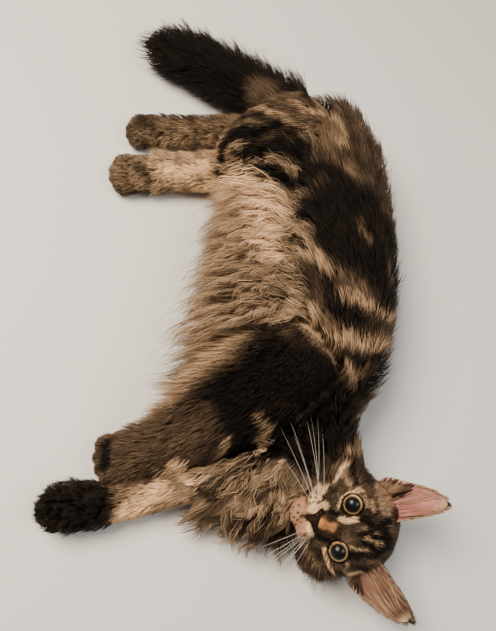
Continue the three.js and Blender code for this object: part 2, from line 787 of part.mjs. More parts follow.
node("foreleg_right", whole.FORELEG_RIGHT, DARK, 0.9, [clear.head]);
node("hind_leg_right", whole.THIGH_RIGHT.add(whole.SHANK_RIGHT), DARK, 0.9);
node("neck", whole.NECK, BROWN, 0.9, [clear.head, ...ears, ...legs]);
node("ruff", whole.RUFF, CREAM, 0.9, [clear.NECK, clear.head, ...legs]);
const front = [clear.NECK, clear.RUFF, clear.head, ...legs];
node("chest", whole.CHEST, DARK, 0.9, front);
node("belly", whole.BELLY, CREAM, 0.9, [clear.CHEST, ...legs]);
node("hips", whole.HIPS, BROWN, 0.9, [clear.BELLY, ...legs]);
node("tail_base", whole.TAIL_BASE, DARK, 0.9, [clear.HIPS, ...legs]);
node("tail_tip", whole.TAIL_TIP, DARK, 0.9, [clear.TAIL_BASE, ...legs, clear.hindpaw_right]);

node("foreleg_left", whole.FORELEG_LEFT, CREAM, 0.9, [clear.FORELEG_RIGHT]);
const hindLeft = whole.THIGH_LEFT.add(whole.SHANK_LEFT);
node("hind_leg_left", hindLeft, CREAM, 0.9, [clear.THIGH_RIGHT, clear.SHANK_RIGHT]);

node("forepaw_right", whole.forepaw_right, BROWN, 0.9, [clear.FORELEG_RIGHT, clear.FORELEG_LEFT]);
node("forepaw_left", whole.forepaw_left, DARK, 0.9, [clear.FORELEG_LEFT, clear.FORELEG_RIGHT, clear.forepaw_right]);
node("hindpaw_right", whole.hindpaw_right, BROWN, 0.9, [clear.SHANK_RIGHT]);
node("hindpaw_left", whole.hindpaw_left, BROWN, 0.9, [clear.SHANK_LEFT]);

// The origin is the middle of the cat's footprint, on the floor
const box = new THREE.Box3().setFromObject(group);
group.position.set(-(box.min.x + box.max.x) / 2, -(box.min.y + box.max.y) / 2, 0);

export default group;
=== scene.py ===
import math

import bpy
import numpy as np
from mathutils import Matrix, Vector
from mathutils.kdtree import KDTree


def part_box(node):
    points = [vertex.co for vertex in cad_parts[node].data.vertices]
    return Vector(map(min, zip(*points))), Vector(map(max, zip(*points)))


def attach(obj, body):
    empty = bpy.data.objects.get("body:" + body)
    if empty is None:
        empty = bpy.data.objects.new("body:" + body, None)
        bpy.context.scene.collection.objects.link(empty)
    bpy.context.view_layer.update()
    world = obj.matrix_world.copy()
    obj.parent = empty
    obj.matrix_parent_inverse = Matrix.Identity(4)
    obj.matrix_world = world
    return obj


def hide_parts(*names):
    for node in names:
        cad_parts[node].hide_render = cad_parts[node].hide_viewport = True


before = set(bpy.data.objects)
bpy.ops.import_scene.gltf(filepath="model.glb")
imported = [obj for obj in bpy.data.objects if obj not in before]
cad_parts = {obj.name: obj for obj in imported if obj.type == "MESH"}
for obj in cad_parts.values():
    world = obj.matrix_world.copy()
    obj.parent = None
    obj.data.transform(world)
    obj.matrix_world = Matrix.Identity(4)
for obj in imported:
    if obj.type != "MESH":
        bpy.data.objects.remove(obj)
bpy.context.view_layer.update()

SEED = 41077
MM = 0.001


def unit(v):
    v = np.asarray(v, float)
    return v / np.maximum(np.linalg.norm(v, axis=-1, keepdims=True), 1e-9)


def ramp(value, start, end):
    """How far a value is from one number to another, from 0 to 1. The second may be the smaller."""
    return np.clip((value - start) / (end - start), 0, 1)


# The camera, in the cat's frame, and the photograph's frame in pixels
EYE_POINT = np.array([-170.0, -260.0, 585.47])
VIEW_RIGHT = np.array([0.98434, -0.06497, 0.16386])
VIEW_UP = np.array([0.0, 0.92959, 0.36860])
VIEW_FORWARD = np.array([0.17627, 0.36283, -0.91503])
FOCAL_PIXELS = 546.85
PHOTO_WIDE, PHOTO_HIGH = 496, 631

# The head's own frame: forward is the way the face looks, its middle lies between the eyes
HEAD_AT = np.array([2.8, -265.1, 79.9])
FORWARD = unit([-0.384, -0.152, 0.911])
LEFT = unit(np.cross([0.86, -0.417, 0.293], FORWARD))
UPWARD = np.cross(FORWARD, LEFT)
HEAD_AXES = np.stack([FORWARD, UPWARD, LEFT])


def from_head(points):
    return HEAD_AT + np.asarray(points, float) @ HEAD_AXES


def to_head(points):
    return (points - HEAD_AT) @ HEAD_AXES.T


EYE_APART = 43.0
EYE_RADIUS = 10.4
EYE_SUNK = 8.2
EYES = {-1: np.array([-EYE_SUNK, 0, -EYE_APART / 2]), 1: np.array([-EYE_SUNK, 0, EYE_APART / 2])}
low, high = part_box("eye_right")
SHIFT = np.array((low + high) / 2) / MM - from_head(EYES[-1])


def to_frame(points):
    return (np.asarray(points, float) + SHIFT) * MM


# Bare limbs
CURVE_STEPS = 10


class Limb:
    """A bare length of body: stations [x, y, z, half width, half height], and its coat's depth on four
    sides at each: the side its width points to, above, the other side, and below."""

    def __init__(self, stations, coat, cap, flow, slide, droop=0.0):
        knots = np.array(stations, float)
        padded = np.vstack([2 * knots[0] - knots[1], knots, 2 * knots[-1] - knots[-2]])
        rows = []
        for i in range(len(knots) - 1):
            a, b, c, d = padded[i : i + 4]
            for t in np.arange(CURVE_STEPS) / CURVE_STEPS:
                second = 2 * a - 5 * b + 4 * c - d
                third = 3 * b - a - 3 * c + d
                rows.append(0.5 * (2 * b + (c - a) * t + second * t**2 + third * t**3))
        rows.append(knots[-1])
        rows = np.array(rows)
        self.at, self.wide, self.tall = rows[:, :3], rows[:, 3], rows[:, 4]
        self.along = unit(np.gradient(self.at, axis=0))
        self.side = unit(np.cross(self.along, [0, 0, 1]))
        self.up = np.cross(self.side, self.along)
        place = np.linspace(0, 1, len(rows))
        table = np.array(coat * 2 if len(coat) == 1 else coat, float)
        marks = np.linspace(0, 1, len(table))
        self.coat = np.stack([np.interp(place, marks, table[:, k]) for k in range(4)], 1)
        self.cap, self.flow, self.slide, self.droop = cap, flow, slide, droop
        self.step = np.linalg.norm(np.diff(self.at, axis=0), axis=1).mean()

    def locate(self, points):
        """Where points lie on the limb: its place along it, and how far along, sideways and up they are."""
        points = np.asarray(points, np.float32)
        best = np.empty(len(points), int)
        at = self.at.astype(np.float32)
        batch = 100000
        for i in range(0, len(points), batch):
            p = points[i : i + batch]
            best[i : i + batch] = np.argmin((at**2).sum(1) - 2 * p @ at.T, 1)
        d = points - self.at[best]
        place = best + (d * self.along[best]).sum(1) / self.step
        place = np.clip(place, 0, len(self.at) - 1)
        lower = np.minimum(place.astype(int), len(self.at) - 2)
        share = (place - lower)[:, None]

        def mixed(values):
            values = values if values.ndim > 1 else values[:, None]
            return values[lower] * (1 - share) + values[lower + 1] * share

        d = points - mixed(self.at)
        along, side, up = mixed(self.along), mixed(self.side), mixed(self.up)
        return {
            "place": place / (len(self.at) - 1),
            "a": (d * along).sum(1),
            "s": (d * side).sum(1),
            "u": (d * up).sum(1),
            "wide": mixed(self.wide)[:, 0],
            "tall": mixed(self.tall)[:, 0],
            "along": along,
            "side": side,
            "up": up,
            "coat": mixed(self.coat),
        }

    def field(self, points):
        """How far points lie outside the limb."""
        at = self.locate(points)
        ends = (at["place"] <= 0) | (at["place"] >= 1)
        a = np.where(ends, at["a"], 0.0)
        reach = np.sqrt((at["s"] / at["wide"]) ** 2 + (at["u"] / at["tall"]) ** 2 + (a / self.cap) ** 2)
        bent = (at["s"] / at["wide"] ** 2) ** 2 + (at["u"] / at["tall"] ** 2) ** 2 + (a / self.cap**2) ** 2
        return reach * (reach - 1) / np.maximum(np.sqrt(bent), 1e-6)


TRUNK = Limb(
    [
        [34, 208, 50, 28, 28],
        [36, 188, 53, 43, 34],
        [32, 142, 56, 62, 40],
        [25, 84, 56, 70, 46],
        [18, 20, 56, 72, 49],
        [6, -40, 56, 70, 48],
        [-8, -92, 56, 64, 42],
        [-24, -138, 53, 52, 37],
    ],
    [
        [20, 14, 26, 8],
        [24, 15, 30, 10],
        [34, 16, 29, 12],
        [66, 16, 24, 12],
        [70, 17, 22, 12],
        [72, 17, 24, 12],
        [80, 14, 26, 12],
        [92, 12, 24, 10],
    ],
    cap=20,
    flow=-1,
    slide=27,
    droop=0.45,
)
NECK = Limb(
    [[-22, -132, 50, 42, 34], [-14, -178, 47, 35, 32], [-2, -212, 44, 32, 30], [12, -240, 42, 32, 28]],
    [[18, 12, 18, 12]],
    cap=14,
    flow=-1,
    slide=26,
)
RUFF = Limb(
    [[-10, -226, 44, 32, 24], [-52, -218, 38, 34, 26], [-90, -206, 30, 24, 20]],
    [[8, 13, 38, 12]],
    cap=24,
    flow=1,
    slide=42,
    droop=0.4,
)
TAIL = Limb(
    [
        [32, 200, 46, 24, 20],
        [4, 238, 40, 19, 16],
        [-29, 270, 34, 18, 15],
        [-62, 298, 31, 18, 15],
        [-97, 320, 29, 18, 14],
        [-128, 337, 27, 17, 14],
        [-146, 346, 26, 15, 12],
    ],
    [
        [32, 14, 18, 14],
        [36, 17, 26, 14],
        [32, 17, 29, 13],
        [29, 16, 28, 12],
        [28, 16, 27, 11],
        [28, 16, 26, 11],
        [26, 15, 24, 10],
    ],
    cap=14,
    flow=1,
    slide=38,
)
FORELEG_RIGHT = Limb(
    [
        [-16, -106, 82, 38, 30],
        [-62, -134, 84, 40, 31],
        [-106, -158, 68, 31, 25],
        [-144, -176, 46, 23, 20],
        [-180, -184, 31, 21, 17],
    ],
    [[12, 7, 5, 4], [26, 8, 6, 4], [36, 9, 7, 4], [18, 9, 8, 5], [9, 9, 8, 5]],
    cap=14,
    flow=1,
    slide=15,
)
FORELEG_LEFT = Limb(
    [[-70, -196, 34, 24, 20], [-112, -207, 27, 19, 17], [-150, -216, 21, 16, 15], [-196, -227, 17, 15, 14]],
    [[6, 6, 6, 4]],
    cap=12,
    flow=1,
    slide=14,
)
THIGH_RIGHT = Limb(
    [[40, 184, 66, 36, 22], [10, 176, 80, 42, 26], [-28, 165, 78, 38, 25], [-60, 156, 67, 26, 20]],
    [[12, 9, 10, 5]],
    cap=18,
    flow=1,
    slide=20,
)
SHANK_RIGHT = Limb(
    [
        [-58, 158, 62, 24, 18],
        [-50, 190, 48, 18, 15],
        [-64, 209, 38, 14, 12],
        [-104, 214, 29, 12, 11],
        [-150, 216, 22, 13, 11],
    ],
    [[9, 7, 15, 4]],
    cap=8,
    flow=1,
    slide=13,
)
THIGH_LEFT = Limb(
    [[-20, 164, 30, 28, 21], [-60, 152, 26, 22, 18]],
    [[9, 7, 9, 5]],
    cap=14,
    flow=1,
    slide=14,
)
SHANK_LEFT = Limb(
    [[-62, 151, 25, 22, 17], [-104, 153, 22, 18, 15], [-134, 153, 19, 17, 14], [-160, 152, 18, 18, 14]],
    [[15, 7, 9, 5]],
    cap=8,
    flow=1,
    slide=12,
)

# Paws, and the joins of fields
IDENTITY = np.eye(3)
PAW_INSET = 2.0
TOES, TOE_MELT = 4, 1.8
# The parts of a paw, as shares of its length, half height and half width, and in mm where so marked
PAW_MIDDLE, PAW_HALF = 0.45, 0.5
TOE_FORWARD, TOE_CURVE, TOE_OUT, TOE_DOWN_MM = 0.9, 0.1, 0.72, 2
TOE_LONG, TOE_LONG_MM, TOE_TALL, TOE_WIDE = 0.2, 1, 0.78, 0.32
PALM_AT, PALM_LONG, PALM_TALL_MM, PALM_WIDE = 0.42, 0.13, 4.0, 0.32
PALM_SUNK_MM, TOE_PAD_SUNK_MM, TOE_PAD_BACK_MM = 2.4, 3.0, 1.5
TOE_PAD_LONG, TOE_PAD_TALL_MM, TOE_PAD_WIDE = 0.08, 3.2, 0.12


def egg_field(points, at, axes, half):
    """How far points lie outside an ellipsoid."""
    d = (points - at) @ np.asarray(axes, float).T
    half = np.asarray(half, float)
    reach = np.sqrt(((d / half) ** 2).sum(-1))
    slope = np.sqrt(((d / half**2) ** 2).sum(-1))
    return reach * (reach - 1) / np.maximum(slope, 1e-6)


def melt(a, b, wide):
    """Two fields joined, softly where they meet."""
    share = np.clip(0.5 + (b - a) / (2 * wide), 0, 1)
    return a * share + b * (1 - share) - wide * share * (1 - share)


def carve(a, b, wide):
    """The first field without the second, softly where they meet."""
    return -melt(-a, b, wide)


class Paw:
    """A flat egg with four toes in front, and pads on its palm."""

    def __init__(self, start, end, wide, tall, back):
        self.start, self.end = np.array(start, float), np.array(end, float)
        self.wide, self.tall = wide - PAW_INSET, tall - PAW_INSET
        self.length = np.linalg.norm(self.end - self.start)
        self.along = unit(self.end - self.start)
        back = np.array(back, float)
        self.back = unit(back - self.along * (back @ self.along))
        self.side = np.cross(self.along, self.back)
        self.axes = np.stack([self.along, self.back, self.side])
        centre = (TOES - 1) / 2
        self.toes = [self.toe_at((toe - centre) / centre) for toe in range(TOES)]

    def toe_at(self, out):
        """The middle of a toe, from -1 at one side of the paw to 1 at the other."""
        forward = self.along * self.length * (TOE_FORWARD - TOE_CURVE * out * out)
        return self.start + forward + self.side * out * self.wide * TOE_OUT - self.back * TOE_DOWN_MM

    def field(self, points):
        """How far points lie outside the paw."""
        middle = self.start + self.along * self.length * PAW_MIDDLE
        whole = egg_field(points, middle, self.axes, [self.length * PAW_HALF, self.tall, self.wide])
        toe_half = [self.length * TOE_LONG + TOE_LONG_MM, self.tall * TOE_TALL, self.wide * TOE_WIDE]
        for toe in self.toes:
            whole = melt(whole, egg_field(points, toe, self.axes, toe_half), TOE_MELT)
        return whole

    def pads(self):
        """Middles and half sizes of the palm's pads."""
        palm = self.start + self.along * self.length * PALM_AT - self.back * (self.tall - PALM_SUNK_MM)
        found = [(palm, [self.length * PALM_LONG, PALM_TALL_MM, self.wide * PALM_WIDE])]
        sunk = self.tall * TOE_TALL - TOE_PAD_SUNK_MM
        half = [self.length * TOE_PAD_LONG, TOE_PAD_TALL_MM, self.wide * TOE_PAD_WIDE]
        for toe in self.toes:
            found.append((toe - self.back * sunk - self.along * TOE_PAD_BACK_MM, half))
        return found


PAWS = {
    "forepaw_right": Paw([-176, -182, 30], [-217, -191, 17], 25, 18, [-0.2, 0.1, 1]),
    "forepaw_left": Paw([-192, -227, 16], [-262, -231, 17], 20, 16, [0.1, -0.5, -0.8]),
    "hindpaw_right": Paw([-146, 216, 21], [-192, 217, 15], 20, 16, [-0.1, 0, 1]),
    "hindpaw_left": Paw([-154, 152, 18], [-210, 151, 16], 24, 17, [0, 0, 1]),
}
LIMBS = {
    "trunk": TRUNK,
    "neck": NECK,
    "ruff": RUFF,
    "tail": TAIL,
    "foreleg_right": FORELEG_RIGHT,
    "foreleg_left": FORELEG_LEFT,
    "thigh_right": THIGH_RIGHT,
    "shank_right": SHANK_RIGHT,
    "thigh_left": THIGH_LEFT,
    "shank_left": SHANK_LEFT,
}
REGIONS = [*LIMBS, *PAWS, "head", "belly"]
HEAD_REGION, BELLY_REGION = REGIONS.index("head"), REGIONS.index("belly")
BELLY_FROM = 0.15

# Masses of the head: middle forward, up and left of the eyes, half sizes, and how widely each melts in
HEAD_MASSES = [
    [-42, 4, 0, 42, 42, 42, 1],
    [-30, -14, 22, 26, 26, 27, 10],
    [-30, -14, -22, 26, 26, 27, 10],
    [-22, 10, 0, 18, 24, 26, 10],
    [-24, -34, 0, 26, 17, 24, 10],
    [-9, -25, 15, 19, 16, 17, 8],
    [-9, -25, -15, 19, 16, 17, 8],
    [-10, -1, 0, 12, 13, 10, 8],
    [2, -13, 0, 13, 11, 11, 7],
    [10, -23, 0, 13, 9, 10, 6],
    [5, -42, 0, 12, 10, 13, 5],
    [6, -32, 11, 15, 10, 13, 4],
    [6, -32, -11, 15, 10, 13, 4],
]
HEAD_INSET = 1.8
LID_THICK, LID_MELT = 1.5, 1.8
LID_OPEN, LID_SLANT = [8.3, 9.3], 0.12
LID_SLOPE, LID_BACK, LID_SOFT, LID_GAP = 8.0, 2.0, 0.5, 0.15
MOUTH = [[-37, 0], [-39.5, 4], [-40.5, 9], [-38.5, 14], [-35, 18]]
PHILTRUM = [[-31, 0], [-34, 0], [-38, 0]]
MOUTH_LIFT, PHILTRUM_LIFT = -0.3, 0.2
GROOVE, GROOVE_SOFT = 0.7, 1.0
FACE_NEAR, FACE_FAR, HALVINGS = -10.0, 60.0, 24
DETAIL_REACH = 20


def segment_distance(points, start, end):
    span = end - start
    t = np.clip(((points - start) @ span) / (span @ span), 0, 1)
    return np.linalg.norm(points - start - t[:, None] * span, axis=1)


def line_distance(points, line):
    """The distance from points to a line of several points, or to a single one."""
    if len(line) == 1:
        return np.linalg.norm(points - line[0], axis=1)
    return np.min([segment_distance(points, a, b) for a, b in zip(line[:-1], line[1:])], axis=0)


def head_bare(p):
    """The head's skin without the eyes' openings, in the head's frame."""
    whole = None
    for f, u, l, rf, ru, rl, soft in HEAD_MASSES:
        out = egg_field(p, [f, u, l], IDENTITY, [rf, ru, rl])
        whole = out if whole is None else melt(whole, out, soft)
    return whole + HEAD_INSET


def on_face(line, side, lift=0.0):
    """A line on the face, from heights and sides in its frame to points on its skin."""
    line = np.array(line, float)
    up, left = line[:, 0], side * line[:, 1]
    near, far = np.full(len(up), FACE_NEAR), np.full(len(up), FACE_FAR)
    for _ in range(HALVINGS):
        mid = (near + far) / 2
        inside = head_bare(np.stack([mid, up, left], 1)) < 0
        near, far = np.where(inside, mid, near), np.where(inside, far, mid)
    return np.stack([near + lift, up, left], 1)


LIP_LINES = [on_face(MOUTH, side, MOUTH_LIFT) for side in EYES]
LIP_LINES.append(on_face(PHILTRUM, 1, PHILTRUM_LIFT))


def head_field(points):
    """How far points lie outside the head, with its lids and lips."""
    p = to_head(points)
    whole = head_bare(p)
    near = whole < DETAIL_REACH
    q = p[near]
    value = whole[near]
    for side, eye in EYES.items():
        ball = np.linalg.norm(q - eye, axis=1)
        value = melt(value, ball - EYE_RADIUS - LID_THICK, LID_MELT)
        d = q - eye
        slant = d[:, 1] - LID_SLANT * side * d[:, 2]
        window = np.sqrt((slant / LID_OPEN[0]) ** 2 + (d[:, 2] / LID_OPEN[1]) ** 2)
        opening = np.maximum((window - 1) * LID_SLOPE, -(d[:, 0] - LID_BACK))
        value = carve(value, opening, LID_SOFT)
        value = np.maximum(value, EYE_RADIUS + LID_GAP - ball)
    for line in LIP_LINES:
        value = carve(value, line_distance(q, line) - GROOVE, GROOVE_SOFT)
    whole[near] = value
    return whole


# The skin: all fields melted together on grids, and the surface between inside and outside
GRID = 3.0
HEAD_GRID = 1.25
NOSE_GRID = 0.5
FAR = 30.0
MELT = dict(trunk=1, neck=14, ruff=10, tail=10, foreleg_right=9, foreleg_left=8, thigh_right=9)
OTHER_MELT = 6
PAW_MELT = 4
HEAD_MELT = 8


class Grid:
    """Values at the points of a regular grid."""

    def __init__(self, low, high, step):
        self.low, self.step = np.array(low, float), step
        self.shape = tuple(np.ceil((np.array(high) - low) / step).astype(int) + 1)
        self.value = np.full(self.shape, FAR, np.float32)

    def points(self, cut):
        axes = [self.low[k] + self.step * np.arange(cut[k].start, cut[k].stop) for k in range(3)]
        return np.stack(np.meshgrid(*axes, indexing="ij"), -1).reshape(-1, 3)

    def join(self, low, high, field, soft):
        """Melts a field into the grid within a box."""
        first = np.maximum(np.floor((low - self.low) / self.step).astype(int), 0)
        last = np.minimum(np.ceil((high - self.low) / self.step).astype(int) + 1, self.shape)
        cut = tuple(slice(a, b) for a, b in zip(first, last))
        held = self.value[cut].ravel()
        made = np.minimum(field(self.points(cut)), FAR)
        self.value[cut] = np.minimum(melt(held, made, soft), FAR).reshape(self.value[cut].shape)

    def at(self, values, points):
        """A grid's values between its points."""
        p = (points - self.low) / self.step
        p = np.clip(p, 0, np.array(self.shape) - 1.001)
        i = p.astype(int)
        f = p - i
        total = 0.0
        for corner in range(8):
            o = np.array([corner & 1, corner >> 1 & 1, corner >> 2])
            weight = np.prod(np.where(o == 1, f, 1 - f), axis=1)
            j = i + o
            part = values[j[:, 0], j[:, 1], j[:, 2]]
            total = total + (part * weight if part.ndim == 1 else part * weight[:, None])
        return total

    def surface(self):
        """Points and quads of the surface where the values change sign."""
        value = self.value
        cells = tuple(n - 1 for n in self.shape)
        total = np.zeros(cells + (3,), np.float32)
        count = np.zeros(cells, np.float32)
        crossings = []
        for axis in range(3):
            ahead = [slice(None)] * 3
            behind = [slice(None)] * 3
            behind[axis], ahead[axis] = slice(0, -1), slice(1, None)
            a, b = value[tuple(behind)], value[tuple(ahead)]
            cross = (a < 0) != (b < 0)
            share = np.where(cross, a / np.where(cross, a - b, 1), 0)
            crossings.append((cross, a < 0))
            first, second = [k for k in range(3) if k != axis]
            for o1 in (0, 1):
                for o2 in (0, 1):
                    cut = [slice(None)] * 3
                    cut[first] = slice(o1, self.shape[first] - 1 + o1)
                    cut[second] = slice(o2, self.shape[second] - 1 + o2)
                    c, s = cross[tuple(cut)], share[tuple(cut)]
                    total[..., axis] += s
                    total[..., first] += c * o1
                    total[..., second] += c * o2
                    count += c
        full = count > 0
        index = np.full(cells, -1)
        index[full] = np.arange(full.sum())
        where = np.argwhere(full)
        points = self.low + self.step * (where + total[full] / count[full][:, None])
        quads = []
        for axis in range(3):
            cross, inside = crossings[axis]
            first, second = (axis + 1) % 3, (axis + 2) % 3
            at = np.argwhere(cross)
            ok = (at[:, first] > 0) & (at[:, second] > 0)
            ok &= (at[:, first] < self.shape[first] - 1) & (at[:, second] < self.shape[second] - 1)
            at = at[ok]
            corners = []
            for o1, o2 in ((1, 1), (0, 1), (0, 0), (1, 0)):
                c = at.copy()
                c[:, first] -= o1
                c[:, second] -= o2
                corners.append(index[c[:, 0], c[:, 1], c[:, 2]])
            quad = np.stack(corners, 1)
            turned = ~inside[at[:, 0], at[:, 1], at[:, 2]]
            quad[turned] = quad[turned][:, ::-1]
            quads.append(quad)
        return points, np.vstack(quads)


BODY_LOW, BODY_HIGH = [-285, -345, -6], [125, 385, 130]
HEAD_MIDDLE = np.array([-16.0, -18.0, 0.0])
HEAD_BALL = from_head(HEAD_MIDDLE)
HEAD_REACH = 62.0
HEAD_SEAM = 4.0
HEAD_ROOM = HEAD_REACH + HEAD_SEAM
BLEND_ROOM = 1.5 * HEAD_ROOM
CAP_ROOM = 0.6
PAW_ROOM = 70
FIRST_MELT = 1
SKIN_CLEAR = 1.0
body = Grid(BODY_LOW, BODY_HIGH, GRID)
for name, limb in LIMBS.items():
    reach = np.maximum(limb.wide, limb.tall)[:, None] + FAR + limb.cap * CAP_ROOM
    body.join((limb.at - reach).min(0), (limb.at + reach).max(0), limb.field, MELT.get(name, OTHER_MELT))
for name, paw in PAWS.items():
    middle = (paw.start + paw.end) / 2
    body.join(middle - PAW_ROOM, middle + PAW_ROOM, paw.field, PAW_MELT)
body.join(HEAD_BALL - BLEND_ROOM, HEAD_BALL + BLEND_ROOM, head_field, HEAD_MELT)
head = Grid(HEAD_BALL - HEAD_ROOM, HEAD_BALL + HEAD_ROOM, HEAD_GRID)
for field, soft in ((NECK.field, FIRST_MELT), (RUFF.field, MELT["ruff"]), (head_field, HEAD_MELT)):
    head.join(HEAD_BALL - HEAD_ROOM, HEAD_BALL + HEAD_ROOM, field, soft)
gradient = np.stack(np.gradient(body.value, GRID), -1)

body_points, body_quads = body.surface()
off = np.linalg.norm(body_points[body_quads].mean(1) - HEAD_BALL, axis=1)
body_quads = body_quads[off > HEAD_REACH - HEAD_SEAM]
head_points, head_quads = head.surface()
off = np.linalg.norm(head_points[head_quads].mean(1) - HEAD_BALL, axis=1)
head_quads = head_quads[off < HEAD_REACH]
skin_points = np.vstack([body_points, head_points])
skin_quads = np.vstack([body_quads, head_quads + len(body_points)])
used, inverse = np.unique(skin_quads, return_inverse=True)
skin_points, skin_quads = skin_points[used], inverse.reshape(-1, 4)
skin_points[:, 2] = np.maximum(skin_points[:, 2], SKIN_CLEAR)


def body_field(points):
    return body.at(body.value, points)


def out_of(points):
    return unit(body.at(gradient, points))


# Materials
class Value:
    """A number socket that Python's own operators work on."""

    def __init__(self, shade, socket):
        self.shade, self.socket = shade, socket

    def __add__(self, other):
        return self.shade.math("ADD", self, other)

    def __sub__(self, other):
        return self.shade.math("SUBTRACT", self, other)

    def __mul__(self, other):
        return self.shade.math("MULTIPLY", self, other)


# The mix node's sockets for colours, by place, since several of them share a name
MIX_SHARE, MIX_FIRST, MIX_SECOND, MIX_COLOUR = 0, 6, 7, 2


class Shade:
    """A material with one main shader, and the means to feed it."""

    def __init__(self, name, roughness=0.5, **constants):
        self.material = bpy.data.materials.new(name)
        self.material.use_nodes = True
        self.tree = self.material.node_tree
        self.main = self.tree.nodes["Principled BSDF"]
        self.main.inputs["Roughness"].default_value = roughness
        for key, value in constants.items():
            self.main.inputs[key.replace("_", " ")].default_value = value

    def node(self, kind, settings=None, inputs=None, output=0):
        made = self.tree.nodes.new(kind)
        for key, value in (settings or {}).items():
            setattr(made, key, value)
        for key, value in (inputs or {}).items():
            if isinstance(value, Value):
                self.tree.links.new(value.socket, made.inputs[key])
            else:
                made.inputs[key].default_value = value
        return Value(self, made.outputs[output])

    def math(self, operation, first, second):
        return self.node("ShaderNodeMath", {"operation": operation}, {0: first, 1: second})

    def within(self, value, low, high):
        """How far a value is from one number to another, from 0 to 1."""
        inputs = {"Value": value, "From Min": low, "From Max": high}
        return self.node("ShaderNodeMapRange", {"interpolation_type": "SMOOTHSTEP"}, inputs)

    def mix(self, share, first, second):
        settings = {"data_type": "RGBA", "clamp_factor": True}
        inputs = {MIX_SHARE: share, MIX_FIRST: first, MIX_SECOND: second}
        return self.node("ShaderNodeMix", settings, inputs, MIX_COLOUR)

    def tone(self, colour, strength):
        """A colour made darker or lighter."""
        inputs = {0: colour, "Scale": strength}
        return self.node("ShaderNodeVectorMath", {"operation": "SCALE"}, inputs)

    def mark(self, name):
        return self.node("ShaderNodeAttribute", {"attribute_name": name}, {}, "Fac")

    def place(self):
        return self.node("ShaderNodeTexCoord", {}, {}, "Object")

    def noise(self, scale, detail=3.0):
        inputs = {"Vector": self.place(), "Scale": scale, "Detail": detail}
        return self.node("ShaderNodeTexNoise", {}, inputs)

    def bump(self, height, strength, distance):
        inputs = {"Height": height, "Strength": strength, "Distance": distance}
        return self.node("ShaderNodeBump", {}, inputs)

    def feed(self, **values):
        for key, value in values.items():
            self.tree.links.new(value.socket, self.main.inputs[key.replace("_", " ")])
        return self.material


BLACK = (0.0060, 0.0034, 0.0020, 1)
BROWN = (0.058, 0.033, 0.018, 1)
TICK = (0.26, 0.160, 0.092, 1)
CREAM = (0.92, 0.61, 0.35, 1)
ORANGE = (0.50, 0.185, 0.052, 1)
PINK = (0.58, 0.265, 0.165, 1)


# How far a hair's ground goes from brown to tick along it and by its own tone, and how light it is
TICK_ALONG, TICK_TONE, TICK_LESS = 0.55, 0.8, 0.25
LIGHT_TONE, LIGHT_WHOLE = 0.55, 0.95
HAIR_ROUGH, ROUGH_LEAST, ROUGH_SPAN = 0.62, 0.52, 0.2
HAIR_SHINE, HAIR_GRAIN, HAIR_DETAIL = 0.16, 900.0, 2.0
# The skin's roughness and shine, and the painted shade that it takes from the hairs' roots
SKIN_ROUGH, SKIN_SHINE, SKIN_ROOT_SHADE = 0.7, 0.12, 0.3
SKIN_GRAIN, SKIN_DETAIL, SKIN_RELIEF, SKIN_BUMP = 700.0, 4.0, 0.5, 0.0006


def coat_colour(shade, ends):
    """The coat's colour from its marks, and from how far along a hair the point is."""
    along, vary = shade.mark("along"), shade.mark("vary")
    ground = shade.mix(along * TICK_ALONG + vary * TICK_TONE - TICK_LESS, BROWN, TICK)
    for name, colour in (("warm", ORANGE), ("pale", CREAM), ("pink", PINK), ("dark", BLACK)):
        ground = shade.mix(shade.mark(name), ground, colour)
    # Painted shade: hair is darker towards its root by ends
    return shade.tone(ground, vary * LIGHT_TONE + along * ends + (LIGHT_WHOLE - ends))


def coat_material(name, ends):
    shade = Shade(name, HAIR_ROUGH, Specular_IOR_Level=HAIR_SHINE)
    grain = shade.noise(HAIR_GRAIN, HAIR_DETAIL)
    return shade.feed(Base_Color=coat_colour(shade, ends), Roughness=grain * ROUGH_SPAN + ROUGH_LEAST)


def skin_material(name):
    shade = Shade(name, SKIN_ROUGH, Specular_IOR_Level=SKIN_SHINE)
    relief = shade.bump(shade.noise(SKIN_GRAIN, SKIN_DETAIL), SKIN_RELIEF, SKIN_BUMP)
    return shade.feed(Base_Color=coat_colour(shade, SKIN_ROOT_SHADE), Normal=relief)


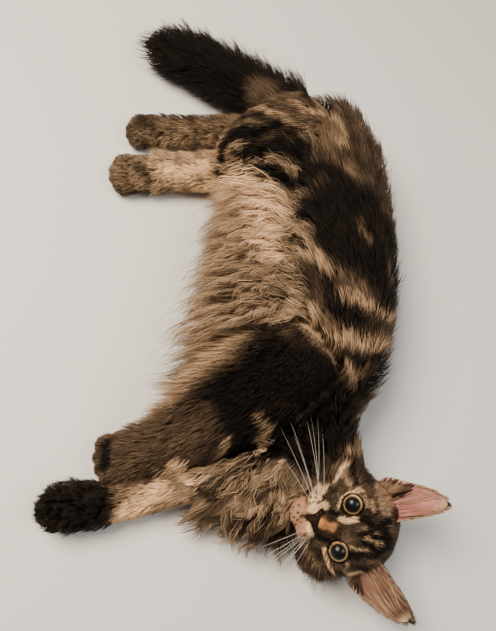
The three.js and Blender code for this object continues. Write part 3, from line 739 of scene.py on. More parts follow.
# Markings: what each is, its kind, its half width in mm, and its line in the photograph's pixels.
# Each is carried to the coat where its line of sight meets it. Both flanks are marked alike, as seen
# from above.
BODY_MARKS = [
    ("saddle", "black", 30, (335, 205), (355, 215), (368, 245)),
    ("saddle, towards the rump", "black", 21, (316, 202), (340, 192), (366, 196)),
    ("saddle, lower edge", "black", 13, (292, 214), (306, 204)),
    ("saddle, front", "black", 21, (340, 240), (365, 265), (384, 284)),
    ("saddle, by the spine", "black", 14, (381, 215), (391, 250), (394, 285)),
    ("saddle, lower middle", "black", 14, (318, 226), (332, 246)),
    ("first flank band", "black", 10, (312, 270), (334, 287), (352, 303)),
    ("first flank band, lower end", "dark", 9, (290, 266), (310, 280)),
    ("spot in the saddle", "grey", 4, (360, 224), (368, 238)),
    ("spot by the spine", "grey", 3, (384, 262), (390, 280)),
    ("flank blotch", "light", 6, (302, 242), (312, 250), (322, 266)),
    ("first stripe", "light", 5, (338, 285), (352, 293), (364, 304)),
    ("first stripe, upper end", "light", 4.5, (362, 303), (378, 308), (391, 316)),
    ("second flank band", "black", 9, (330, 300), (350, 316), (368, 322)),
    ("second flank band, upper end", "dark", 6, (366, 322), (390, 330)),
    ("second stripe", "light", 6, (322, 328), (345, 330), (358, 338)),
    ("second stripe, upper end", "light", 7, (356, 338), (372, 346), (386, 341)),
    ("third flank band", "black", 5, (348, 348), (364, 358), (382, 354)),
    ("third stripe", "light", 6, (332, 345), (345, 360), (354, 376)),
    ("band over the shoulder", "black", 8, (352, 390), (370, 382), (380, 366)),
    ("arch behind the shoulder", "light", 12, (262, 285), (285, 285), (300, 305)),
    ("arch, upper end", "light", 9, (302, 310), (316, 328), (326, 344)),
    ("flank by the belly", "light", 6, (258, 262), (284, 266)),
    ("shade by the belly", "dark", 6, (276, 246), (292, 240)),
    ("flank by the groin", "light", 5, (268, 222), (290, 226)),
    ("groin", "cream", 20, (208, 203), (238, 210), (262, 216)),
    ("belly", "cream", 15, (222, 235), (248, 244), (262, 262)),
    ("groin by the thigh", "cream", 9, (200, 190), (238, 195)),
    ("belly's edge", "cream", 7, (205, 230), (215, 245)),
    ("middle of the belly", "light", 14, (205, 290), (235, 300), (260, 290)),
    ("front of the belly", "light", 14, (200, 330), (235, 330), (262, 308)),
    ("elbow fringe", "light", 15, (140, 412), (160, 400), (200, 368), (235, 345)),
    ("belly shade 1", "grey", 2.5, (225, 262), (232, 276), (226, 292)),
    ("belly shade 2", "grey", 2.5, (240, 280), (246, 300), (240, 318)),
    ("belly shade 3", "grey", 2.5, (210, 300), (218, 318)),
    ("belly shade 4", "grey", 2.5, (258, 300), (262, 322)),
    ("thigh, upper band", "black", 17, (222, 165), (255, 152), (300, 148)),
    ("thigh, lower band", "black", 13, (240, 197), (280, 190), (305, 172)),
    ("hip band", "black", 11, (300, 165), (330, 168), (345, 180)),
    ("thigh by the tail", "black", 10, (232, 132), (250, 130), (272, 124)),
    ("hock, light", "light", 5, (206, 141), (219, 134)),
    ("thigh, first bar", "light", 3.5, (222, 151), (242, 143)),
    ("thigh, second bar", "light", 3, (226, 172), (240, 160)),
    ("thigh, third bar", "light", 4.5, (242, 186), (262, 170)),
    ("rump", "light", 7, (290, 116), (318, 120), (345, 142)),
    ("rump's edge", "light", 8, (320, 98), (342, 128)),
    ("behind the hip", "dark", 10, (350, 150), (368, 172), (384, 200)),
    ("shoulder", "black", 37, (240, 395), (275, 368), (305, 375), (325, 400)),
    ("upper arm", "black", 21, (190, 425), (240, 402)),
    ("upper arm, lower side", "black", 14, (206, 438), (238, 436)),
    ("side of the neck", "black", 20, (342, 420), (325, 440), (300, 450)),
    ("below the shoulder", "black", 14, (258, 415), (285, 425)),
    ("arm by the ruff", "black", 10, (230, 440), (256, 462)),
    ("throat band", "black", 8, (280, 458), (300, 466)),
    ("forearm", "grey", 24, (110, 455), (150, 440), (188, 432)),
    ("wrist", "black", 6, (103, 443), (102, 468)),
    ("elbow spot", "light", 5, (215, 462), (222, 445)),
    ("shoulder streak", "light", 4, (260, 418), (266, 432), (254, 450)),
    ("ruff, first lock", "cream", 4.5, (262, 452), (285, 462)),
    ("ruff, second lock", "light", 7, (222, 470), (236, 480)),
    ("neck behind the cheek", "light", 6, (345, 458), (358, 440)),
    ("left forearm", "cream", 9, (112, 520), (135, 505), (158, 485)),
    ("chest by the arm", "cream", 6, (172, 470), (190, 482)),
    ("left forepaw", "black", 18, (50, 508), (75, 508), (94, 508)),
    ("left hind foot", "cream", 8, (160, 166), (205, 160)),
    ("right hind foot", "light", 5, (150, 140), (176, 142)),
    ("hock, inner side", "light", 5, (205, 150), (216, 160)),
    ("tail", "black", 34, (150, 50), (185, 62), (212, 76)),
    ("base of the tail", "grey", 22, (262, 92), (290, 106), (325, 118)),
    ("top of the tail's base", "light", 5, (296, 100), (318, 108), (340, 122)),
    ("side of the tail's base", "light", 5, (255, 105), (285, 120)),
    ("ruff, third lock", "light", 7, (205, 495), (235, 500)),
    # The ruff's gaps, here and below, are painted shade between its locks
    ("ruff, shade in the first gap", "dark", 4.5, (215, 484), (240, 492)),
    ("ruff, shade in the third gap", "dark", 4, (196, 484), (214, 508)),
    ("ruff, shade in the fourth gap", "dark", 4, (262, 512), (276, 536)),
    ("ruff, fourth lock", "light", 6, (240, 475), (275, 480)),
    # Painted shade in a gap between the ruff's locks
    ("ruff, shade in the second gap", "dark", 5, (250, 500), (280, 492)),
    ("ruff, fifth lock", "light", 6, (255, 522), (285, 505)),
    ("ruff's edge", "grey", 7, (200, 510), (232, 530)),
    ("ruff below the chin", "dark", 6, (240, 540), (262, 530)),
    ("ruff by the cheek", "dark", 7, (262, 548), (290, 552)),
    ("ruff, sixth lock", "light", 6, (220, 515), (250, 530)),
    ("ruff, seventh lock", "light", 5, (280, 520), (284, 540)),
]
FACE_MARKS = [
    ("bridge of the nose", "warm", 4.6, (322, 523), (328, 527), (333, 528)),
    ("right tear line", "black", 1.5, (322, 511), (328, 510), (335, 513), (341, 516)),
    ("left tear line", "black", 2.2, (317, 537), (323, 540), (332, 542)),
    ("right eye, outer crescent", "cream", 2.0, (340, 507), (342, 500), (348, 493), (356, 490), (362, 489)),
    ("right eye, corner", "cream", 1.5, (361, 486), (362, 495)),
    ("right brow patch", "cream", 2.2, (341, 518), (347, 521), (355, 520), (362, 519)),
    ("right brow, above the spot", "light", 1.8, (364, 522), (371, 526), (379, 531)),
    ("right brow spot", "black", 4.2, (364, 519), (369, 521), (372, 524)),
    ("forehead, first band", "black", 2.5, (362, 536), (370, 533), (380, 528), (390, 520)),
    ("forehead, second band", "black", 2.5, (364, 543), (371, 546), (378, 551)),
    ("left brow spot", "black", 3.8, (352, 556), (358, 557), (364, 555)),
    ("forehead, third band", "black", 3.0, (372, 557), (378, 555), (384, 550), (390, 544)),
    ("top of the head", "black", 4.0, (387, 530), (391, 545)),
    ("forehead, thin band", "black", 2.0, (375, 537), (384, 538)),
    ("forehead, first pale band", "light", 1.5, (366, 539), (376, 541), (384, 544)),
    ("forehead, second pale band", "light", 1.5, (352, 548), (360, 550), (368, 551)),
    ("left eye, outer crescent", "cream", 1.9, (325, 548), (325, 558), (329, 566), (335, 570)),
    ("left eye, inner crescent", "light", 1.7, (334, 541), (341, 545), (346, 553), (349, 563), (347, 570)),
    ("left eye, shade", "black", 1.6, (346, 560), (341, 565)),
    ("left eye, corner", "black", 2.0, (333, 575), (330, 573)),
    ("right lip", "cream", 4.4, (310, 510), (318, 508), (324, 505)),
    ("right lip, outer side", "cream", 4.0, (312, 500), (316, 492), (320, 486)),
    ("right lip, upper edge", "cream", 2.8, (320, 497), (324, 488), (328, 484)),
    ("left lip", "cream", 3.4, (306, 525), (309, 531), (311, 534)),
    ("left lip, first row", "light", 1.5, (301, 546), (305, 537)),
    ("left lip, second row", "light", 1.5, (306, 548), (309, 538)),
    ("lips' edge", "pink", 3.5, (302, 498), (303, 506), (302, 512)),
    ("chin", "pink", 8.0, (293, 500), (292, 515), (294, 530)),
    ("left lip's edge", "pink", 3.0, (303, 522), (302, 530)),
    ("right cheek", "cream", 2.0, (336, 478), (344, 465), (350, 458)),
    ("right cheek stripe", "black", 2.2, (354, 460), (357, 472), (360, 482)),
    ("right cheek, second light", "light", 2.5, (347, 470), (351, 482)),
    ("right temple", "light", 2.0, (372, 500), (376, 510)),
    ("hair before the right ear", "light", 4.0, (380, 484), (385, 500), (389, 512)),
    ("inside the right ear", "pink", 6.0, (389, 484), (395, 500)),
    ("right temple, by the eye", "light", 2.5, (366, 496), (370, 505)),
    ("right cheek shade", "dark", 2.5, (330, 492), (338, 488)),
    ("left temple", "cream", 2.6, (352, 575), (362, 572)),
    ("left cheek shade", "dark", 3.0, (318, 550), (322, 562)),
]
LIP_DOTS = [
    (313, 501), (316, 497), (319, 502), (322, 500), (324, 495), (317, 492), (310, 503), (311, 496),
    (325, 499), (303, 541), (307, 544), (304, 535), (311, 541), (292, 508), (297, 512), (293, 517),
    (299, 505), (297, 520), (301, 515), (294, 525), (290, 513),
]
# What each kind of mark makes of the coat: dark, pale, warm, pink
MARK_NAMES = ("dark", "pale", "warm", "pink")
KINDS = {
    "black": (1.0, 0.0, 0.0, 0.0),
    "dark": (0.82, 0.03, 0.0, 0.0),
    "grey": (0.60, 0.12, 0.0, 0.0),
    "light": (0.12, 0.36, 0.0, 0.0),
    "cream": (0.0, 0.96, 0.0, 0.0),
    "warm": (0.0, 0.1, 0.95, 0.0),
    "pink": (0.06, 0.4, 0.0, 0.68),
}
# The coat's dark and pale away from the marks, in each region
GROUND = {
    "trunk": (0.68, 0.05),
    "belly": (0.22, 0.42),
    "ruff": (0.36, 0.38),
    "neck": (0.58, 0.12),
    "tail": (1.15, -0.05),
    "foreleg_right": (0.74, 0.05),
    "foreleg_left": (0.25, 0.45),
    "thigh_right": (0.86, 0.03),
    "thigh_left": (0.25, 0.50),
    "shank_right": (0.48, 0.22),
    "shank_left": (0.22, 0.50),
    "forepaw_right": (0.58, 0.12),
    "forepaw_left": (0.96, 0.0),
    "hindpaw_right": (0.52, 0.18),
    "hindpaw_left": (0.50, 0.20),
    "head": (0.66, 0.10),
}
# How far above the skin a line of sight meets the coat and the face, and where it is looked for, in mm
COAT_REACH, FACE_REACH = 12.0, 1.0
SIGHT_FROM, SIGHT_TO, SIGHT_STEP = 400.0, 760.0, 1.5


def seen_at(pixels, field, reach):
    """Where lines of sight through the photograph's pixels come within a reach of a field's surface."""
    pixels = np.array(pixels, float)
    across, down = (pixels[:, 0] - PHOTO_WIDE / 2), (pixels[:, 1] - PHOTO_HIGH / 2)
    sight = VIEW_FORWARD + (across[:, None] * VIEW_RIGHT - down[:, None] * VIEW_UP) / FOCAL_PIXELS
    way = unit(sight)[:, None] * np.arange(SIGHT_FROM, SIGHT_TO, SIGHT_STEP)[:, None]
    points = EYE_POINT + way
    value = field(points.reshape(-1, 3)).reshape(len(pixels), -1)
    met = value < reach
    first = np.where(met.any(1), np.argmax(met, axis=1), np.argmin(value, axis=1))
    return points[np.arange(len(pixels)), first]


def lay_marks(table, field, reach, flatten):
    """Marks with their lines carried from the photograph to the cat, and flattened."""
    laid = []
    for _, kind, wide, *line in table:
        laid.append((np.array(KINDS[kind]), wide, flatten(seen_at(line, field, reach))))
    return laid


def in_plan(points):
    return points[:, :2]


def in_face(points):
    return to_head(points)[:, 1:]


body_marks = lay_marks(BODY_MARKS, body_field, COAT_REACH, in_plan)
face_marks = lay_marks(FACE_MARKS, head_field, FACE_REACH, in_face)
lip_dots = in_face(seen_at(LIP_DOTS, head_field, FACE_REACH))
NOISE_WAVES = 6
BODY_CRISP, FACE_CRISP = 1.3, 1.4
MARK_REACH, MARK_SOFT = 1.3, 0.8
# How far the marks drift, in mm, and over what distance, and how clouds and flecks change the ground
BODY_DRIFT, BODY_DRIFT_OVER, BODY_SEEDS = 4, 45, (3, 4)
FACE_DRIFT, FACE_DRIFT_OVER, FACE_SEEDS = 0.6, 7, (21, 22)
FACE_SPREAD = 0.35
CLOUD_OVER, CLOUD_SEED, CLOUD_DARK, CLOUD_PALE = 26, 8, 0.16, 0.10
FLECK_OVER, FLECK_SEED, FLECK_DARK, FLECK_PALE, FLECK_HEAD = 11, 9, 0.12, 0.12, 0.1
BLACK_PAW, BLACK_PAW_DARK = REGIONS.index("forepaw_left"), 0.93
# Where the face's marks begin on the head, and the dark rims of the lids and the dots of the lips
FACE_FROM = (-64, -48)
LID_RIM, LID_RIM_SOFT, LID_RIM_BACK = 10.3, 0.5, -14
DOT_EDGE, DOT_WIDE, DOT_BACK = 1.6, 0.9, -12


def soft_noise(points, scale, seed):
    """A smooth random value from about -1 to 1 at each point."""
    random = np.random.default_rng(seed)
    total = np.zeros(len(points))
    for _ in range(NOISE_WAVES):
        wave = random.normal(size=3) / scale
        total += np.sin(points @ wave * np.pi + random.uniform(0, 2 * np.pi))
    return total / (NOISE_WAVES / 2)


def drift(points, over, seeds):
    return np.stack([soft_noise(points, over, seed) for seed in seeds], 1)


def apply_marks(held, flat, laid, crisp):
    """Lays marks over the coat's dark, pale, warm and pink, more or less crisp at their edges."""
    for level, wide, line in laid:
        inside = np.clip(crisp * (MARK_REACH - line_distance(flat, line) / wide), 0, 1)
        held += (level - held) * inside[:, None] ** MARK_SOFT


def mark_face(part, points, random):
    """The head's marks, with its lids' rims and the dots of its lips, laid over its ground."""
    p = to_head(points)
    face = p[:, 1:] + FACE_SPREAD * random.normal(size=(len(p), 2))
    face += FACE_DRIFT * drift(p, FACE_DRIFT_OVER, FACE_SEEDS)
    marked = part.copy()
    apply_marks(marked, face, face_marks, FACE_CRISP)
    part += (marked - part) * ramp(p[:, 0], *FACE_FROM)[:, None]
    black = np.array(KINDS["black"])
    for eye in EYES.values():
        around = np.hypot(p[:, 1] - eye[1], p[:, 2] - eye[2])
        rim = np.clip((LID_RIM - around) / LID_RIM_SOFT, 0, 1) * (p[:, 0] > LID_RIM_BACK)
        part += (black - part) * rim[:, None]
    gap = np.min([np.hypot(*(face - dot).T) for dot in lip_dots], axis=0)
    spot = np.clip(DOT_EDGE - gap / DOT_WIDE, 0, 1) * (p[:, 0] > DOT_BACK)
    part += (black - part) * spot[:, None]
    return part


def marks_at(points, region, spread, seed):
    """The marks at points of the body, as columns dark, pale, warm and pink."""
    random = np.random.default_rng(seed)
    moved = points + random.normal(size=points.shape) * spread
    moved[:, :2] += BODY_DRIFT * drift(points, BODY_DRIFT_OVER, BODY_SEEDS)
    cloud, fleck = soft_noise(points, CLOUD_OVER, CLOUD_SEED), soft_noise(points, FLECK_OVER, FLECK_SEED)
    ground = np.array([GROUND[name] for name in REGIONS])[region]
    held = np.zeros((len(points), len(MARK_NAMES)))
    held[:, 0] = ground[:, 0] + CLOUD_DARK * cloud + FLECK_DARK * fleck
    held[:, 1] = ground[:, 1] + FLECK_PALE * fleck - CLOUD_PALE * cloud
    on_head = region == HEAD_REGION
    held[:, 0] -= FLECK_HEAD * fleck * on_head
    body_part = np.clip(held[~on_head], 0, 1)
    apply_marks(body_part, in_plan(moved[~on_head]), body_marks, BODY_CRISP)
    held[~on_head] = body_part
    black_paw = region == BLACK_PAW
    held[black_paw, 0] = np.maximum(held[black_paw, 0], BLACK_PAW_DARK)
    if on_head.any():
        held[on_head] = mark_face(np.clip(held[on_head], 0, 1), points[on_head], random)
    return np.clip(held, 0, 1)


# Meshes
def add_object(name, points, faces, material, marks=None, uv=None):
    """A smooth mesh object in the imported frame, from points in the cat's frame."""
    faces = np.asarray(faces)
    mesh = bpy.data.meshes.new(name)
    mesh.vertices.add(len(points))
    mesh.vertices.foreach_set("co", to_frame(points).astype(np.float32).ravel())
    mesh.loops.add(faces.size)
    mesh.loops.foreach_set("vertex_index", faces.astype(np.int32).ravel())
    mesh.polygons.add(len(faces))
    mesh.polygons.foreach_set("loop_start", np.arange(0, faces.size, faces.shape[1], dtype=np.int32))
    mesh.update(calc_edges=True)
    mesh.validate()
    for key, values in (marks or {}).items():
        made = mesh.attributes.new(key, "FLOAT", "POINT")
        made.data.foreach_set("value", np.asarray(values, np.float32))
    if uv is not None:
        layer = mesh.uv_layers.new(name="OFBake")
        layer.data.foreach_set("uv", uv[faces.ravel()].astype(np.float32).ravel())
    mesh.shade_smooth()
    mesh.materials.append(material)
    made = bpy.data.objects.new(name, mesh)
    bpy.context.scene.collection.objects.link(made)
    return made


def place_piece(piece, replaced=()):
    """Sets a piece on the body, and hides the solids that it stands for."""
    if replaced:
        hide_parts(*replaced)
    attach(piece, "root")


# How much nearer than it is the head counts, in mm, so that its edge is the head's
HEAD_FIRST = 1.0


def region_of(points):
    """The nearest part of the body at each point. The long-haired side of the trunk is the belly."""
    best = np.full(len(points), np.inf)
    region = np.zeros(len(points), int)
    for k, name in enumerate(REGIONS[:-1]):
        if name in LIMBS:
            value = LIMBS[name].field(points)
        elif name in PAWS:
            value = PAWS[name].field(points)
        else:
            value = head_field(points) - HEAD_FIRST
        closer = value < best
        best[closer], region[closer] = value[closer], k
    trunk = np.flatnonzero(region == REGIONS.index("trunk"))
    at = TRUNK.locate(points[trunk])
    facing = at["s"] / at["wide"] / np.hypot(at["s"] / at["wide"], at["u"] / at["tall"])
    region[trunk[facing > BELLY_FROM]] = BELLY_REGION
    return region


def normals_of(points, quads):
    total = np.zeros_like(points)
    p = points[quads]
    face = np.cross(p[:, 2] - p[:, 0], p[:, 3] - p[:, 1])
    for k in range(4):
        np.add.at(total, quads[:, k], face)
    return unit(total)


# The skin is coloured as hair near its root and at a low tone: painted shade under the coat
SKIN_SPREAD, SKIN_SEED, SKIN_ALONG, SKIN_TONE = 0.5, 5, 0.1, 0.35
skin_normals = normals_of(skin_points, skin_quads)
skin_region = region_of(skin_points)
skin_marks = dict(zip(MARK_NAMES, marks_at(skin_points, skin_region, SKIN_SPREAD, SKIN_SEED).T))
skin_marks["along"] = np.full(len(skin_points), SKIN_ALONG)
skin_marks["vary"] = np.full(len(skin_points), SKIN_TONE)
skin = add_object("skin", skin_points, skin_quads, skin_material("skin_under_coat"), skin_marks)
OTHER_NODES = ("eye_right", "eye_left", "nose", "ear_right", "ear_left")
place_piece(skin, [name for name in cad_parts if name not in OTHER_NODES])

# The coat by region: tufts for each square centimetre, their width in mm and their rings; how much they
# gather to the tips of locks of so many tufts, wave, and turn aside; how much shorter a lock's edge is and
# how much painted shade darkens it between locks, how much each tuft differs from the next, the share of
# stray hairs, and the slot of the finish
LOOK = ("many", "wide", "rings", "gather", "every", "wave", "tousle", "edge", "own", "stray", "slot")
COAT = {
    "trunk": (34, 1.1, 2, 0.08, 20, 0.6, 0.08, 0.05, 0.12, 0.06, "coat_body"),
    "belly": (36, 0.95, 4, 0.48, 16, 3.1, 0.3, 0.5, 0.22, 0.08, "coat_pale"),
    "neck": (30, 1.2, 3, 0.4, 20, 2.0, 0.2, 0.3, 0.18, 0.05, "coat_body"),
    "ruff": (42, 1.05, 5, 0.66, 24, 3.6, 0.4, 0.85, 0.22, 0.06, "coat_pale"),
    "tail": (54, 1.0, 3, 0.12, 24, 0.8, 0.08, 0.05, 0.12, 0.05, "coat_tail"),
    "foreleg_right": (42, 0.9, 2, 0.12, 10, 0.5, 0.1, 0.05, 0.26, 0.05, "coat_leg"),
    "foreleg_left": (46, 0.95, 2, 0.3, 14, 0.6, 0.16, 0.1, 0.2, 0.04, "coat_leg"),
    "thigh_right": (44, 1.0, 2, 0.15, 14, 0.8, 0.12, 0.05, 0.16, 0.05, "coat_leg"),
    "shank_right": (58, 0.85, 2, 0.2, 10, 0.4, 0.14, 0.05, 0.3, 0.04, "coat_leg"),
    "thigh_left": (38, 1.0, 2, 0.3, 12, 0.5, 0.12, 0.1, 0.16, 0.04, "coat_leg"),
    "shank_left": (56, 0.85, 2, 0.2, 10, 0.4, 0.14, 0.05, 0.26, 0.04, "coat_leg"),
    "forepaw_right": (66, 0.85, 2, 0.2, 10, 0.3, 0.14, 0.05, 0.3, 0.04, "coat_leg"),
    "forepaw_left": (78, 0.85, 2, 0.5, 14, 0.8, 0.45, 0.1, 0.14, 0.12, "coat_leg"),
    "hindpaw_right": (68, 0.85, 2, 0.2, 10, 0.3, 0.14, 0.05, 0.3, 0.04, "coat_leg"),
    "hindpaw_left": (68, 0.85, 2, 0.2, 10, 0.3, 0.14, 0.05, 0.3, 0.04, "coat_leg"),
    "head": (98, 0.7, 2, 0.12, 8, 0.15, 0.08, 0.05, 0.24, 0.02, "coat_face"),
}
# How much darker hair is at its root than at its tip, by finish: painted shade among the roots
ROOT_SHADE = {"coat_body": 0.30, "coat_pale": 0.46, "coat_tail": 0.30, "coat_leg": 0.35, "coat_face": 0.25}
# Heights above the floor, in mm, below which no blade, no path and no waved path goes
FLOOR_CLEAR = 0.8
PATH_CLEAR, WAVED_CLEAR = FLOOR_CLEAR + 0.5, FLOOR_CLEAR + 0.4
# How far along a tuft its marks are read, and how much the marks of tufts spread, in mm
SHOWN_AT, SPREAD = 0.85, 1.6
PATCH = 0.003
MOST_TRIANGLES = 195000
MM_IN_CM, SQUARE_CM = 10, 100.0
UNDERSIDE, UNDERSIDE_SHARE = -0.7, 0.3


def roots_on_skin(name, many, random):
    """Random places on the part of the skin that belongs to one region, with the way out of it."""
    here = skin_quads[skin_region[skin_quads[:, 0]] == REGIONS.index(name)]
    tris = np.vstack([here[:, [0, 1, 2]], here[:, [0, 2, 3]]])
    p, n = skin_points[tris], skin_normals[tris]
    area = np.linalg.norm(np.cross(p[:, 1] - p[:, 0], p[:, 2] - p[:, 0]), axis=1) / 2
    weight = area * np.where(n.mean(1)[:, 2] < UNDERSIDE, UNDERSIDE_SHARE, 1.0)
    count = int(weight.sum() / SQUARE_CM * many)
    pick = random.choice(len(tris), count, p=weight / weight.sum())
    a, b = random.random(count), random.random(count)
    flip = a + b > 1
    a[flip], b[flip] = 1 - a[flip], 1 - b[flip]
    w = np.stack([1 - a - b, a, b], 1)[..., None]
    return (p[pick] * w).sum(1), unit((n[pick] * w).sum(1))


def side_depth(coat, angle):
    c, s = np.cos(angle), np.sin(angle)
    across = np.where(c > 0, coat[:, 0], coat[:, 2])
    upright = np.where(s > 0, coat[:, 1], coat[:, 3])
    return np.sqrt((across * c) ** 2 + (upright * s) ** 2)


def on_skin(flow, normals):
    """A direction laid flat on the skin."""
    return unit(flow - normals * (flow * normals).sum(1)[:, None])


# The belly's hair points out and, towards the chest, forward: its share along the cat, by place on
# the trunk
BELLY_LIE = ([0.15, 0.35, 0.55, 0.8, 1.0], [0.25, 0.0, -0.45, -0.85, -0.95])
BELLY_TURN, BELLY_NARROW, BELLY_BACK = 1.6, 0.4, 0.8
BELLY_OUT, BELLY_OUT_MORE = 0.7, 0.3
BELLY_LONG, BELLY_LONG_LESS = 1.15, 0.3
BELLY_START = (0.22, 0.45)
# The flank's hair turns down to the belly, less so near the rump, where it turns to the tail
FLANK_LIE = ([0.05, 0.3, 0.6, 1.0], [0.0, 0.5, 0.8, 0.7])
FLANK_TURN = 2
RUMP_TO, RUMP_SHORT = 0.13, 0.35
TO_TAIL = np.array([-1.1, -0.25, 0.0])
BEHIND, BEHIND_LONG, BEHIND_DEEP = (0.16, 0.2), 14, 5
TAIL_SHORT = 0.4
FRINGE, FRINGE_LONG, SHOULDER_START = (0.45, 0.4), 14, (0.14, 0.3)
RUFF_WAY, RUFF_TURN = np.array([-0.25, -0.95, -0.15]), np.array([-0.55, 0.25, 0.0])
CHIN, CHIN_CLEAR, CHIN_LEAST = np.array([4.0, -42.0, 0.0]), 54.0, 0.2
THIGH_TURN, THIGH_START = np.array([0, 0.2, -0.3]), (0.2, 0.4)
# Paws: how the hair fans out, its depth and slide on a sleek and on a shaggy paw, and the unwrap's length
PAW_FAN, PAW_UNWRAP = 0.35, 1.6
SLEEK, SHAGGY = (4.5, 8.0), (8.0, 13.0)
# The head's hair points away from the nose's tip. Its parts run between heights or sides in the
# head's frame
NOSE_TIP = np.array([24.0, -26.0, 0.0])
BROW, BROW_UP = (-10, 20), 20
CHEEK_OUT, CHEEK_DOWN, CHEEK_BACK = (24, 44), (8, -12), 30
JOWL_OUT, JOWL_DOWN = (24, 40), (30, 10)
CROWN = (18, 32)
FACE_SHORT = (60, 0.25)
# Its slide and depth in mm: everywhere, away from the nose, cheek, jowl, left cheek and crown
HEAD_SLIDE, HEAD_DEPTH = (2.0, 3.4, 16, 3, 5, 3), (0.9, 1.5, 5.0, 4.5, 5, 3)
# Near an ear's foot it turns to the ear's tip, and is longer
BY_EAR, BY_EAR_OVER = 1.7, 21
BY_EAR_TURN, BY_EAR_SLIDE, BY_EAR_DEPTH = 1.5, 2.5, 1.5
EARS = {
    "ear_right": dict(
        base=[-37, 30, -33], tip=[-45, 83, -48], wide=23, opens=[0.89, -0.07, -0.44], blunt=1.6
    ),
    "ear_left": dict(
        base=[-31, 28, 38], tip=[-38, 77, 63], wide=22, opens=[0.9, -0.07, 0.42], blunt=2.6
    ),
}


def from_start(place, reach, least):
    """Less near the start: from a least share to the whole over a reach."""
    return np.clip(place / reach, least, 1)


def bell(place, middle, reach):
    """From 1 at one place to 0 at a reach from it."""
    return np.clip(1 - np.abs(place - middle) / reach, 0, 1)


def lie_of_belly(at, flow, depth, slide):
    ahead = np.interp(at["place"], *BELLY_LIE)[:, None]
    below = np.clip(BELLY_TURN * (at["cos"] - BELLY_FROM), 0, 1)
    down = at["side"] * (1 - BELLY_NARROW * np.abs(ahead)) - at["along"] * ahead
    flow = flow * (1 - below) * BELLY_BACK + down * (BELLY_OUT + BELLY_OUT_MORE * below)
    slide = slide * (BELLY_LONG - BELLY_LONG_LESS * below[:, 0]) * from_start(at["place"], *BELLY_START)
    return flow, depth, slide


def lie_of_trunk(at, flow, depth, slide):
    place, c, s = at["place"], at["cos"], at["sin"]
    toward_belly = s * at["side"] - c * at["up"]
    turned = np.interp(place, *FLANK_LIE)[:, None] * np.minimum(FLANK_TURN * np.abs(s), 1)
    flow = flow + toward_belly * np.sign(s) * turned
    rump = np.clip(1 - place / RUMP_TO, 0, 1)
    behind = np.clip(-c[:, 0], 0, 1) * bell(place, *BEHIND)
    flow = flow + TO_TAIL * rump[:, None]
    return flow, depth + BEHIND_DEEP * behind, slide * (1 - RUMP_SHORT * rump) + BEHIND_LONG * behind


def lie_of_tail(at, flow, depth, slide):
    return flow, depth, slide * (1 - TAIL_SHORT * at["place"])


def lie_of_foreleg(at, flow, depth, slide):
    fringe = np.clip(at["cos"][:, 0], 0, 1) * bell(at["place"], *FRINGE)
    return flow, depth * from_start(at["place"], *SHOULDER_START), slide + FRINGE_LONG * fringe


def lie_of_ruff(at, flow, depth, slide):
    return RUFF_WAY + RUFF_TURN * at["place"][:, None], depth, slide


def lie_of_thigh(at, flow, depth, slide):
    return flow + THIGH_TURN, depth * from_start(at["place"], *THIGH_START), slide


LIES = {
    "belly": lie_of_belly,
    "trunk": lie_of_trunk,
    "tail": lie_of_tail,
    "foreleg_right": lie_of_foreleg,
    "ruff": lie_of_ruff,
    "thigh_right": lie_of_thigh,
    "thigh_left": lie_of_thigh,
}


def lie_on_limb(name, roots):
    """How the coat lies on a limb: its way, depth, slide and droop, and its place on the unwrap."""
    limb = TRUNK if name == "belly" else LIMBS[name]
    at = limb.locate(roots)
    angle = np.arctan2(at["u"] / at["tall"], at["s"] / at["wide"])
    at["cos"], at["sin"] = np.cos(angle)[:, None], np.sin(angle)[:, None]
    flow = limb.flow * at["along"]
    depth = side_depth(at["coat"], angle)
    slide = np.full(len(roots), float(limb.slide))
    if name in LIES:
        flow, depth, slide = LIES[name](at, flow, depth, slide)
    if name in ("ruff", "neck"):
        short = from_start(np.linalg.norm(to_head(roots) - CHIN, axis=1), CHIN_CLEAR, CHIN_LEAST)
        slide, depth = slide * short, depth * short
    droop = limb.droop * np.abs(at["cos"][:, 0])
    spot = np.stack([at["place"], (angle / (2 * np.pi)) % 1], 1)
    return flow, depth, slide, droop, spot


def lie_on_paw(name, roots):
    """How the coat lies on a paw, towards its toes."""
    paw = PAWS[name]
    depth, slide = SHAGGY if name == "forepaw_left" else SLEEK
    d = roots - (paw.start + paw.end) / 2
    across = (d @ paw.side) / paw.wide
    flow = paw.along + PAW_FAN * paw.side * across[:, None]
    around = np.arctan2(d @ paw.back, d @ paw.side) / (2 * np.pi)
    spot = np.stack([0.5 + (d @ paw.along) / (paw.length * PAW_UNWRAP), around % 1], 1)
    count = len(roots)
    return flow, np.full(count, depth), np.full(count, slide), np.zeros(count), spot


